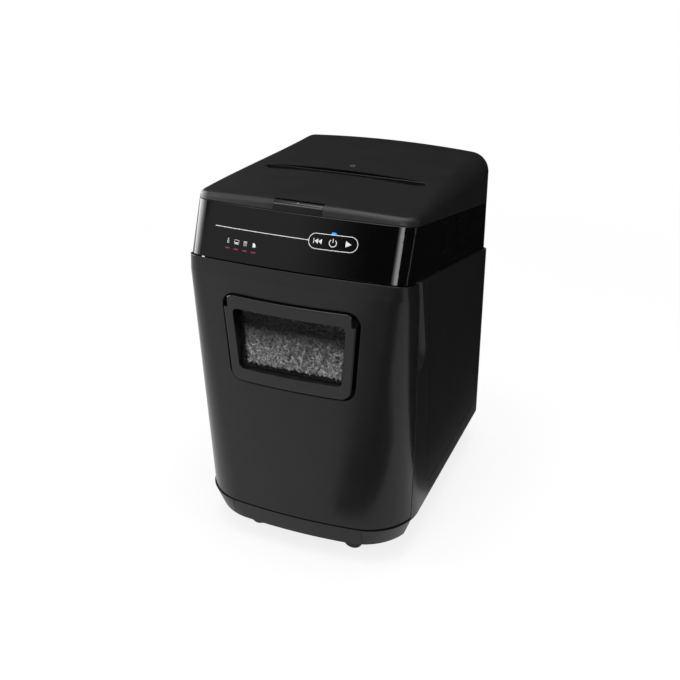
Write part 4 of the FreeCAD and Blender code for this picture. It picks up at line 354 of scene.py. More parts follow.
def finishes(colours):
    """The material of each slot of the record."""
    satin, gloss, inner = list(colours.satin), list(colours.gloss), list(colours.inner)
    return {
        "lid_black": moulded_plastic("lid_satin", satin, 0.40),
        "cabinet_black": moulded_plastic("cabinet_satin", satin, 0.36),
        "bin_front_black": moulded_plastic("bin_front_satin", satin, 0.21, depth=0.012 * MM),
        "band_gloss": piano_plastic("band_gloss", gloss),
        "frame_gloss": piano_plastic("window_frame_gloss", lighter(gloss, 1.6), 0.1, 0.36),
        "latch_gloss": piano_plastic("latch_gloss", lighter(gloss, 1.4), 0.1),
        "key_black": piano_plastic("key_gloss", gloss),
        "inner_plastic": moulded_plastic("inner_matt", inner, 0.62),
        "bin_plastic": moulded_plastic("bin_matt", inner, 0.58, grain=0.8 * MM),
        "grille_black": moulded_plastic("grille_matt", lighter(satin, 0.35), 0.5, specular=0.08),
        "caster_black": moulded_plastic("caster_satin", satin, 0.36),
        "switch_black": moulded_plastic("switch_satin", satin, 0.4),
        "steel": turned_metal("ground_steel", (0.50, 0.51, 0.53, 1), 0.3),
        "plated_steel": turned_metal("zinc_plate", (0.55, 0.55, 0.54, 1), 0.36, along=(1, 1, 6)),
        "bronze": turned_metal("sintered_bronze", (0.50, 0.31, 0.13, 1), 0.42),
        "motor_steel": painted_steel("motor_paint", (0.10, 0.105, 0.11, 1)),
        "gear_plastic": moulded_plastic("gear_nylon", (0.62, 0.60, 0.54, 1), 0.42, grain=0.9 * MM,
                                        specular=0.45),
        "rubber": rubber("roller_rubber", (0.018, 0.018, 0.019, 1)),
        "board_green": circuit_board("circuit_board"),
        "clear_lens": clear_plastic("window_plastic"),
        "power_light": lit_plastic("power_lamp", list(colours.lamp), 1.6),
        "status_lights": lit_plastic("status_bars", list(colours.status), 0.35),
        "shreds": shred_paper("shredded_paper", list(colours.paper)),
    }


# ---------------------------------------------------------------- meshes


def grid_faces(index):
    """The quads between the rows of a grid of point numbers."""
    return np.stack([index[:-1, :-1], index[1:, :-1], index[1:, 1:], index[:-1, 1:]], -1).reshape(-1, 4)


def new_piece(name, points, faces, material, body):
    """A mesh object at the origin, with its place in its mesh, that rides on a CAD body."""
    mesh = bpy.data.meshes.new(name)
    mesh.from_pydata(points, [], faces)
    if mesh.validate():
        raise RuntimeError(f"{name} has faulty faces")
    mesh.update()
    piece = bpy.data.objects.new(name, mesh)
    bpy.context.scene.collection.objects.link(piece)
    mesh.materials.append(material)
    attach(piece, body)
    return piece


def bowed(radius, across):
    """How far an arc of this radius has dropped at a distance from its middle."""
    return radius - np.sqrt(radius ** 2 - across ** 2)


# The bowed, leaning front of the band, as it is in the CAD model, and the keys' places along X.
FRONT = {"foot_y": -195 * MM, "foot_z": 429 * MM, "row_z": 467.5 * MM, "lean": 0.422, "bow": 762 * MM,
         "fall": 0.234}
KEYS = {"reverse": 33 * MM, "power": 52.5 * MM, "forward": 72 * MM}


def on_front(across, up, rise):
    """Points on the band's front: across is X, up is measured along the slope from the row of keys.

    y = foot + lean * height + bow - sqrt(bow^2 - x^2), then rise along the outward normal."""
    lean = math.atan(FRONT["lean"])
    z = FRONT["row_z"] + up * math.cos(lean)
    nose = FRONT["foot_y"] + FRONT["lean"] * (z - FRONT["foot_z"])
    y = nose + bowed(FRONT["bow"], across)
    turn = np.arcsin(across / FRONT["bow"])
    return np.stack([across + rise * np.sin(turn) * math.cos(lean),
                     y - rise * np.cos(turn) * math.cos(lean),
                     z + rise * math.sin(lean)], axis=-1)


def bow_drop(across):
    """How far a line parallel to the band's edges has dropped at X because the front bows back."""
    return -FRONT["fall"] * bowed(FRONT["bow"], across)


# The lid's crowned top.
TOP = {"y": -167 * MM, "z": 507.5 * MM, "fall": 12.8 / 370, "crown": 155.0 ** 2 / 14 * MM}


def on_top(across, back, rise):
    """Points on the lid's top at X and Y: z falls to the rear and away from the middle."""
    z = TOP["z"] - TOP["fall"] * (back - TOP["y"]) - bowed(TOP["crown"], across) + rise
    return np.stack([across, back, z], axis=-1)


# The rounded front edge of the latch: an arc round this centre.
LATCH = {"y": -156.8 * MM, "z": 498.5 * MM, "radius": 9 * MM, "angle": math.radians(121)}


def on_key(spot):
    """The flat face of the key at X = spot: the plane that touches the band's front there."""
    lean = math.atan(FRONT["lean"])
    turn = math.asin(spot / FRONT["bow"])
    middle = on_front(np.array(spot), np.array(0.0), 0.0)
    outward = np.array([math.sin(turn) * math.cos(lean), -math.cos(turn) * math.cos(lean), math.sin(lean)])
    upward = np.array([0, math.sin(lean), math.cos(lean)])
    upward -= outward * (outward @ upward)
    upward /= np.linalg.norm(upward)
    aside = np.cross(upward, outward)

    def face(across, up, rise):
        spread = np.multiply.outer(across - spot, aside) + np.multiply.outer(up, upward)
        return middle + spread + rise * outward

    return face


def on_latch(across, up, rise):
    """Points on the latch's rounded edge: up is measured along the arc."""
    angle = LATCH["angle"] - up / LATCH["radius"]
    reach = LATCH["radius"] + rise
    y = LATCH["y"] + reach * np.cos(angle)
    z = LATCH["z"] + reach * np.sin(angle)
    return np.stack([across, y, z], axis=-1)


def dense(path, closed, reach=4 * MM):
    """The path with points added evenly along every run longer than reach."""
    ends = np.concatenate([path, path[:1]]) if closed else path
    runs = np.diff(ends, axis=0)
    steps = np.maximum(1, np.ceil(np.linalg.norm(runs, axis=1) / reach)).astype(int)
    share = (np.arange(steps.sum()) - np.repeat(np.cumsum(steps) - steps, steps)) / np.repeat(steps, steps)
    points = np.repeat(ends[:-1], steps, axis=0) + np.repeat(runs, steps, axis=0) * share[:, None]
    return points if closed else np.concatenate([points, ends[-1:]])


def unit(steps):
    """The steps of a path as directions of length 1."""
    return steps / np.linalg.norm(steps, axis=1)[:, None]


class Print:
    """Flat marks that stand a little out of a surface, gathered into one mesh."""

    def __init__(self, surface, rise):
        self.surface = surface
        self.rise = rise
        self.sink = -0.3 * rise
        self.points = []
        self.faces = []

    def _add(self, points, faces):
        start = sum(len(part) for part in self.points)
        self.points.append(points)
        self.faces += [tuple(start + index for index in face) for face in faces]

    def line(self, path, width, closed=False):
        """A strip of constant width along a path: each point is moved half the width to both sides."""
        path = dense(np.asarray(path, float), closed)
        after = np.roll(path, -1, 0) - path
        if not closed:
            after[-1] = after[-2]
        before = np.roll(after, 1, 0)
        if not closed:
            before[0] = after[0]
        way = unit(unit(after) + unit(before))
        aside = np.stack([-way[:, 1], way[:, 0]], 1) * width / 2
        count = len(path)
        left, right = (path + aside).T, (path - aside).T
        points = np.concatenate([self.surface(*left, self.sink), self.surface(*left, self.rise),
                                 self.surface(*right, self.rise), self.surface(*right, self.sink)])
        last = count if closed else count - 1
        faces = [(k * count + i, k * count + (i + 1) % count,
                  ((k + 1) % 4) * count + (i + 1) % count, ((k + 1) % 4) * count + i)
                 for k in range(4) for i in range(last)]
        if not closed:
            faces.append(tuple(k * count for k in range(4)))
            faces.append(tuple(k * count + count - 1 for k in (3, 2, 1, 0)))
        self._add(points, faces)

    def fill(self, outline):
        """A filled outline: its upper face, and a short wall down into the surface."""
        outline = np.asarray(outline, float)
        x, y = outline.T
        if np.sum(x * np.roll(y, -1) - np.roll(x, -1) * y) < 0:
            outline = outline[::-1]
        count = len(outline)
        points = np.concatenate([self.surface(*outline.T, self.rise), self.surface(*outline.T, self.sink)])
        faces = [tuple(range(count)), tuple(range(2 * count - 1, count - 1, -1))]
        faces += [(i, count + i, count + (i + 1) % count, (i + 1) % count) for i in range(count)]
        self._add(points, faces)

    def build(self, name, material, body):
        return new_piece(name, np.concatenate(self.points), self.faces, material, body)


def arc(centre, radius, first, last, steps):
    """Points of a circle between two angles in degrees."""
    angle = np.radians(np.linspace(first, last, steps))
    return np.stack([centre[0] + radius * np.cos(angle), centre[1] + radius * np.sin(angle)], 1)


def stadium(centre, length, height, steps=20):
    """A closed outline with two straight sides and two half circles."""
    radius = height / 2
    reach = length / 2 - radius
    return np.concatenate([arc((centre[0] + reach, centre[1]), radius, -90, 90, steps),
                           arc((centre[0] - reach, centre[1]), radius, 90, 270, steps)])


def frame_outline(centre, width, height):
    """Corners of a rectangle."""
    x, y = width / 2, height / 2
    return np.array([(-x, -y), (x, -y), (x, y), (-x, y)]) + centre


def lozenge(centre, width, height, facing):
    """Corners of a triangle that points left (-1) or right (1)."""
    x, y = width / 2 * facing, height / 2
    return np.array([(-x, -y), (x, 0), (-x, y)]) + centre


# ---------------------------------------------------------------- shreds

# The bin's inside and the surface of the heap, as they are in the CAD model.
HEAP = {"half": 134 * MM, "corner": 12 * MM, "front": -169 * MM, "rear": 184 * MM, "low": 64.6 * MM,
        "brim": 332 * MM, "brim_y": -195 * MM, "fall": 0.234, "hump": 24 * MM, "hump_y": -14 * MM,
        "hump_reach": 60 * MM, "shaded": 110 * MM, "margin": 9 * MM}

# The room behind the window for loose shreds: from the back of the lens to the bin's front wall.
WINDOW = {"low": 283.8 * MM, "high": 338 * MM, "y": -193.3 * MM, "lean": 0.121, "foot": 278.5 * MM,
          "rear": -175 * MM, "half": 68 * MM, "spread": 0.09, "gap": 2.5 * MM, "room": 9 * MM,
          "deep": 12 * MM}


def heap_height(x, y):
    """Height of the heap: it falls to the rear with the machine's deck, with a soft hump under the cutters.

    z = brim - fall * (y - brim_y) + hump * exp(-((y - hump_y) / reach)^2 - (x / (2 * reach))^2)"""
    reach = HEAP["hump_reach"]
    hump = HEAP["hump"] * np.exp(-((y - HEAP["hump_y"]) / reach) ** 2 - (x / (2 * reach)) ** 2)
    return HEAP["brim"] - HEAP["fall"] * (y - HEAP["brim_y"]) + hump


def half_width(y):
    """Half the heap's width at Y: it narrows beside the bin's cut front corners."""
    return HEAP["half"] - np.maximum(0, HEAP["corner"] - (y - HEAP["front"]))


def light_share(y):
    """Shade on the heap: nearly black at the front wall, and none further back."""
    return 0.015 + 0.985 * np.clip((y - HEAP["front"]) / HEAP["shaded"], 0, 1) ** 2


def lens_back(z):
    """Y of the leaning lens's rear face at a height."""
    return WINDOW["y"] + WINDOW["lean"] * (z - WINDOW["foot"])


def window_half(z):
    """Half the width of the opening behind the window at a height."""
    return WINDOW["half"] + WINDOW["spread"] * (z - WINDOW["low"])


def turned(points, yaw, pitch, roll):
    """Turns small shapes, each by its own three angles: roll round X, pitch round Y, then yaw round Z."""
    for angle, first, second in ((roll, 1, 2), (pitch, 2, 0), (yaw, 0, 1)):
        cosine, sine = np.cos(angle)[:, None], np.sin(angle)[:, None]
        one, two = points[..., first].copy(), points[..., second].copy()
        points[..., first] = one * cosine - two * sine
        points[..., second] = one * sine + two * cosine
    return points


def curls(random, middles, lengths, widths, bend, twist, yaw, pitch, roll):
    """Curled strips of paper: a flat strip laid along an arc, twisted round its own length.

    Along the strip x = sin(a) / c and z = (cos(a) - 1) / c for the angle a = c * s at the distance s,
    where c is the bend; the strip's two edges lie half a width to either side, turned by twist * s."""
    count, steps = len(middles), 5
    reach = np.linspace(-0.5, 0.5, steps)[None, :] * lengths[:, None]
    angle = reach * bend[:, None]
    level = np.zeros_like(reach)
    spine = np.stack([np.sin(angle) / bend[:, None], level, (np.cos(angle) - 1) / bend[:, None]], -1)
    turn = twist[:, None] * reach + random.normal(0, 0.25, (count, steps))
    aside = np.stack([level, np.cos(turn), np.sin(turn)], -1) * widths[:, None, None] / 2
    strips = np.concatenate([spine - aside, spine + aside], 1)
    return turned(strips, yaw, pitch, roll) + middles[:, None, :]


def strip_faces(count, steps=5):
    """Four quads a strip, between its two edges."""
    quads = np.array([(k, k + 1, steps + k + 1, steps + k) for k in range(steps - 1)])
    return (quads[None] + (np.arange(count) * 2 * steps)[:, None, None]).reshape(-1, 4)


def shred_piece(name, strips, shade, material):
    """One mesh of many strips, with the tone and painted shade of each in an attribute."""
    count, corners = strips.shape[:2]
    piece = new_piece(name, strips.reshape(-1, 3), strip_faces(count).tolist(), material, "bin")
    values = piece.data.attributes.new("shade", "FLOAT", "POINT")
    values.data.foreach_set("value", np.repeat(shade, corners).astype(np.float32))
    piece.data.polygons.foreach_set("use_smooth", np.ones(len(piece.data.polygons), bool))
    return piece


# ---------------------------------------------------------------- operators


def sizes():
    return bpy.context.scene.shredder_sizes


def colours():
    return bpy.context.scene.shredder_colours


def ink(share=1.0):
    """The ink of the band's marks, or a darker one for moulded marks."""
    name = f"printed_ink_{round(100 * share)}"
    return bpy.data.materials.get(name) or printed_ink(name, lighter(colours().ink, share))


class SHREDDER_OT_finishes(bpy.types.Operator):
    """Give every part of the CAD model the finish of its material slot"""

    bl_idname = "shredder.finishes"
    bl_label = "Finishes"

    def execute(self, context):
        looks = finishes(colours())
        slots = {part["node"]: part["material_slot"] for part in frame["record"]["subparts"]}
        bare = sorted(set(frame["nodes"]) - set(slots))
        if bare:
            raise RuntimeError(f"no material slot covers {bare}")
        for name, node in frame["nodes"].items():
            node.data.materials.clear()
            node.data.materials.append(looks[slots[name]])
        return {"FINISHED"}


class SHREDDER_OT_shreds(bpy.types.Operator):
    """Lay shredded paper on the heap in the bin and behind its window"""

    bl_idname = "shredder.shreds"
    bl_label = "Shredded paper"

    def execute(self, context):
        random = np.random.default_rng(41)
        paper = bpy.data.materials["shredded_paper"]
        self.window_shreds(random, paper)
        self.heap_shreds(random, paper)
        body = self.heap_body(paper)
        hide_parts("shredded_paper")
        return {"FINISHED"}

    def window_shreds(self, random, paper):
        """Strips pressed against the window, darker towards the top where the bin's edge shades them."""
        count = sizes().window_shreds
        edge = 3 * MM
        rise = random.random(count)
        z = WINDOW["low"] + edge + (WINDOW["high"] - WINDOW["low"] - 2 * edge) * rise
        lens = lens_back(z)
        y = lens + WINDOW["gap"] + WINDOW["room"] * random.random(count) ** 1.5
        x = random.uniform(-1, 1, count) * (window_half(z) - 2 * MM)
        lengths = sizes().shred_length * random.uniform(0.4, 0.9, count)
        widths = sizes().shred_width * random.uniform(0.4, 0.85, count)
        strips = curls(random, np.stack([x, y, z], 1), lengths, widths,
                       bend=random.choice([-1, 1], count) * random.uniform(60, 420, count),
                       twist=random.normal(0, 160, count), yaw=random.normal(0, 0.35, count),
                       pitch=random.uniform(0, 6.28, count), roll=random.normal(0.9, 0.7, count))
        low, high = strips.min(1), strips.max(1)
        inside = ((low[:, 1] - lens_back(high[:, 2]) > 0.4 * MM) & (high[:, 1] < WINDOW["rear"])
                  & (low[:, 2] > WINDOW["low"]) & (high[:, 2] < WINDOW["high"])
                  & (np.abs(strips[..., 0]).max(1) < window_half(z)))
        depth = (y - lens) / WINDOW["deep"]
        # Own tone at random, times painted shade: darker towards the top under the bin's edge, and darker
        # deeper behind the lens.
        shade = (0.15 + 0.85 * random.random(count)) * (1.0 - 0.95 * rise ** 1.8) * (1.0 - 0.8 * depth)
        return shred_piece("window_shreds", strips[inside], shade[inside], paper)

    def heap_shreds(self, random, paper):
        """Loose strips that lie on the heap."""
        count = sizes().heap_shreds
        y = random.uniform(HEAP["front"] + HEAP["margin"], HEAP["rear"] - HEAP["margin"], count)
        x = random.uniform(-1, 1, count) * (half_width(y) - HEAP["margin"])
        z = heap_height(x, y) + random.uniform(-2, 3.5, count) * MM
        lengths = sizes().shred_length * random.uniform(0.6, 1.3, count)
        widths = sizes().shred_width * random.uniform(0.7, 1.2, count)
        strips = curls(random, np.stack([x, y, z], 1), lengths, widths,
                       bend=random.choice([-1, 1], count) * random.uniform(30, 240, count),
                       twist=random.normal(0, 90, count), yaw=random.uniform(0, 6.28, count),
                       pitch=random.normal(0, 0.3, count), roll=random.normal(0, 0.4, count))
        # Own tone at random, times the painted shade of light_share towards the front wall.
        shade = (0.62 + 0.38 * random.random(count)) * light_share(y)
        return shred_piece("heap_shreds", strips, shade, paper)

    def heap_body(self, paper):
        """The closed body of the heap: its crinkled top, and walls down to the bin's floor.

        The top is the heap's height with fine waves and noise on it; the walls run straight down."""
        random = np.random.default_rng(7)
        back = np.linspace(HEAP["front"], HEAP["rear"], 140)
        x, y = np.meshgrid(np.linspace(-1, 1, 110), back, indexing="ij")
        x = x * half_width(y)
        ripple = random.normal(0, 1.2 * MM, x.shape) + 1.5 * MM * np.sin(x * 310) * np.cos(y * 270)
        z = heap_height(x, y) + ripple
        top = np.stack([x, y, z], -1)
        floor = top.copy()
        floor[..., 2] = HEAP["low"]
        rows, columns = x.shape
        index = np.arange(rows * columns).reshape(rows, columns)
        cells = grid_faces(index)
        edge = np.concatenate([index[:, 0], index[-1, 1:], index[-2::-1, -1], index[0, -2:0:-1]])
        under = edge + rows * columns
        wall = np.stack([edge, under, np.roll(under, -1), np.roll(edge, -1)], 1)
        faces = cells.tolist() + (cells[:, ::-1] + rows * columns).tolist() + wall.tolist()
        points = np.concatenate([top.reshape(-1, 3), floor.reshape(-1, 3)])
        body = new_piece("heap_body", points, faces, paper, "bin")
        # Painted shade: the body is half as bright as the loose shreds, for the shadowed gaps between them,
        # and darkens towards the front wall.
        shade = body.data.attributes.new("shade", "FLOAT", "POINT")
        shade.data.foreach_set("value", np.tile(0.5 * light_share(y).ravel(), 2).astype(np.float32))
        return body


class SHREDDER_OT_key_marks(bpy.types.Operator):
    """Print the reverse, power and forward symbols on the three keys"""

    bl_idname = "shredder.key_marks"
    bl_label = "Key symbols"

    def execute(self, context):
        stroke = 0.85 * MM
        rise = sizes().print_rise

        reverse = Print(on_key(KEYS["reverse"]), rise)
        reverse.line([(27.7 * MM, -3.1 * MM), (27.7 * MM, 3.1 * MM)], stroke)
        reverse.fill(lozenge((31.0 * MM, 0), 4.6 * MM, 6.4 * MM, -1))
        reverse.fill(lozenge((35.9 * MM, 0), 4.6 * MM, 6.4 * MM, -1))
        reverse.build("reverse_symbol", ink(), "reverse_key")

        middle = KEYS["power"]
        power = Print(on_key(middle), rise)
        power.line(arc((middle, -0.4 * MM), 4.6 * MM, 128, 412, 36), 1.2 * stroke)
        power.line([(middle, 0.2 * MM), (middle, 5.0 * MM)], 1.2 * stroke)
        power.build("power_symbol", ink(), "power_key")

        forward = Print(on_key(KEYS["forward"]), rise)
        forward.fill(lozenge((72.6 * MM, 0), 7.6 * MM, 7.6 * MM, 1))
        forward.build("forward_symbol", ink(), "forward_key")
        return {"FINISHED"}


class SHREDDER_OT_band_marks(bpy.types.Operator):
    """Print the outline round the keys, its long line and the status symbols on the gloss band"""

    bl_idname = "shredder.band_marks"
    bl_label = "Band print"

    def execute(self, context):
        rise = sizes().print_rise
        width = sizes().line_width
        length = sizes().capsule_length

        outline = Print(on_front, rise)
        outline.line(stadium((KEYS["power"], 0), length, sizes().capsule_height), width, closed=True)
        end = KEYS["power"] - length / 2
        across = np.linspace(-112 * MM, end, 40)
        outline.line(np.stack([across, bow_drop(across) - bow_drop(np.array(end))], 1), width)
        outline.build("key_outline", ink(), "machine")

        status = Print(on_front, rise)
        stroke = 0.5 * MM
        row = -17.5 * MM
        hot_x, drawer_x, bin_x, sheet_x = -90.05 * MM, -77.35 * MM, -64.65 * MM, -51.95 * MM
        side = 2.6 * MM
        status.line(arc((hot_x, row - 1.5 * MM), 1.2 * MM, 118, 422, 18), stroke)
        stem, stem_foot, stem_head = 0.55 * MM, row - 0.4 * MM, row + 2.9 * MM
        status.line([(hot_x - stem, stem_foot), (hot_x - stem, stem_head),
                     (hot_x + stem, stem_head), (hot_x + stem, stem_foot)], stroke)
        status.line(frame_outline((drawer_x, row), 2.4 * side, 2 * side), stroke, closed=True)
        status.fill(frame_outline((drawer_x, row - 0.45 * side), 1.5 * side, 0.7 * side))
        status.line([(bin_x - 0.8 * side, row + 0.6 * side), (bin_x - 0.6 * side, row - side),
                     (bin_x + 0.6 * side, row - side), (bin_x + 0.8 * side, row + 0.6 * side)],
                    stroke, closed=True)
        status.line([(bin_x - side, row + side), (bin_x + side, row + side)], stroke)
        status.line([(bin_x, row + 0.3 * side), (bin_x, row - 0.7 * side)], stroke)
        status.fill([(sheet_x - 0.7 * side, row - side), (sheet_x + 0.8 * side, row - side),
                     (sheet_x + 0.8 * side, row + 0.3 * side), (sheet_x + 0.1 * side, row + side),
                     (sheet_x - 0.7 * side, row + side)])
        status.build("status_symbols", ink(), "machine")
        return {"FINISHED"}


class SHREDDER_OT_lid_marks(bpy.types.Operator):
    """Print the sheet symbol behind the slot and the arrow on the latch"""

    bl_idname = "shredder.lid_marks"
    bl_label = "Lid print"

    def execute(self, context):
        rise = sizes().print_rise
        back = 20 * MM
        sheet = Print(on_top, rise)
        stroke = 0.5 * MM
        sheet.line(frame_outline((0, back), 5.6 * MM, 7.2 * MM), stroke, closed=True)
        for up in (1.4 * MM, -0.4 * MM):
            sheet.line([(-1.6 * MM, back + up), (1.6 * MM, back + up)], stroke)
        sheet.build("sheet_symbol", ink(0.3), "lid")

        arrow = Print(on_latch, rise)
        arrow.fill([(-2.2 * MM, -1.4 * MM), (2.2 * MM, -1.4 * MM), (0, 1.7 * MM)])
        arrow.build("latch_arrow", ink(0.12), "latch")
        return {"FINISHED"}


# Corners of the glowing cards, in metres, with the axis along which each goes from dark to bright, the places
# where it does, and its strength.
SHADED_CARDS = {
    "front_card": (((-5, -3, 0.2), (5, -3, 0.2), (5, -3, 5), (-5, -3, 5)), "X", -0.1, -1.4, 0.7),
    "left_card": (((-1.8, -1.7, 0.25), (-1.8, 1.2, 0.25), (-1.8, 1.2, 1.5), (-1.8, -1.7, 1.5)),
                  "Y", -1.6, -0.3, 9.0),
    "edge_card": (((-1.6, -1.8, 2.0), (0.4, -1.8, 2.0), (0.4, -0.9, 2.0), (-1.6, -0.9, 2.0)),
                  "Y", -1.9, -1.5, 5.0),
    "right_card": (((0.3, -2.6, 0.9), (2, -2.6, 0.9), (2, -2.6, 2.4), (0.3, -2.6, 2.2)), "X", 0.3, 1.3, 9.0),
}

# Corners of the black cards: a wall behind, two on the right, and three on the floor.
BLACK_CARDS = (
    ((-5, 3, -0.5), (5, 3, -0.5), (5, 3, 5), (-5, 3, 5)),
    ((8, -2.6, -0.5), (8, 3, -0.5), (8, 3, 6), (8, -2.6, 6)),
    ((2, -2.6, -0.5), (8, -2.6, -0.5), (8, -2.6, 6), (2, -2.6, 6)),
    ((0.17, 0.0, 0.004), (4, 0.0, 0.004), (4, 3, 0.004), (0.17, 3, 0.004)),
    ((0.03, -2.4, 0.004), (0.42, -2.4, 0.004), (0.42, -0.3, 0.004), (0.03, -0.3, 0.004)),
    ((0.42, -2.4, 0.004), (2.0, -2.4, 0.004), (2.0, -0.62, 0.004), (0.42, -0.62, 0.004)),
)

# The lamps: place, target, width, height, and whether mirrors show them; their powers are settings.
LAMPS = {
    "top_light": ((0.1, -0.1, 2.1), (0.0, 0.0, 0.3), 1.5, 1.2, True),
    "left_light": ((-1.8, -0.75, 0.75), (0.0, -0.1, 0.3), 0.7, 1.3, False),
    "right_light": ((1.9, -0.35, 0.85), (0.1, -0.1, 0.35), 0.4, 1.2, False),
    "front_light": ((-0.7, -2.0, 0.7), (0.0, -0.2, 0.32), 1.0, 0.8, False),
}

CAMERA = {"place": (0.5138, -1.2753, 0.9389), "lens": 55.4, "yaw": math.radians(22.39),
          "pitch": math.radians(26.89), "roll": -0.0047}

# The recess round the manual slot, as it is in the CAD model.
RECESS = {"y": -14 * MM, "half": 119 * MM, "wide": 11 * MM, "deep": 5 * MM, "point": 14 * MM,
          "slant": 6 * MM, "throat_half": 114 * MM, "throat": 3.5 * MM}


class SHREDDER_OT_slot_painted_shade(bpy.types.Operator):
    """Lay thin black film over the floor and walls of the recess round the manual slot as painted shade, open
    over the slot itself
    """

    bl_idname = "shredder.slot_lining"
    bl_label = "Slot painted shade"

    def execute(self, context):
        across = np.concatenate([np.linspace(-1, -0.88, 12)[:-1], np.linspace(-0.88, 0.88, 60),
                                 np.linspace(0.88, 1, 12)[1:]]) * (RECESS["half"] - 0.4 * MM)
        points, faces = [], []
        for side, taper in ((-1, "point"), (1, "slant")):
            start = sum(len(part) for part in points)
            points.append(self.strip(across, side, RECESS[taper]).reshape(-1, 3))
            quads = grid_faces(np.arange(4 * len(across)).reshape(4, -1))
            faces += (start + (quads if side < 0 else quads[:, ::-1])).tolist()
        # Dark film with little sheen: painted shade in a recess that is only shaded.
        film = piano_plastic("slot_film", list(colours().gloss), 0.3, 0.15)
        new_piece("slot_lining", np.concatenate(points), faces, film, "lid")
        return {"FINISHED"}

    def strip(self, across, side, taper):
        """One side's painted-shade film, as a profile carried along X: from the slot's edge over the floor
        and up the wall.

        The wall stands at the recess's half width, which narrows to nothing over the taper at each end."""
        film, bevel, rim_gap = 0.12 * MM, 0.5 * MM, 0.5 * MM
        end = RECESS["half"] - np.abs(across)
        wide = RECESS["wide"] * np.minimum(1, end / taper) - film
        inner = np.minimum(np.where(np.abs(across) < RECESS["throat_half"], RECESS["throat"], 0), wide)
        low = np.full_like(across, TOP["z"] - TOP["fall"] * (RECESS["y"] - TOP["y"]) - RECESS["deep"] + film)
        rim_y = RECESS["y"] + side * wide
        rim = on_top(across, rim_y, -rim_gap)[..., 2]
        y = np.stack([RECESS["y"] + side * inner, rim_y - side * 0.6 * MM, rim_y, rim_y])
        z = np.stack([low, low, low + bevel, rim])
        return np.stack([np.broadcast_to(across, y.shape), y, z], -1)


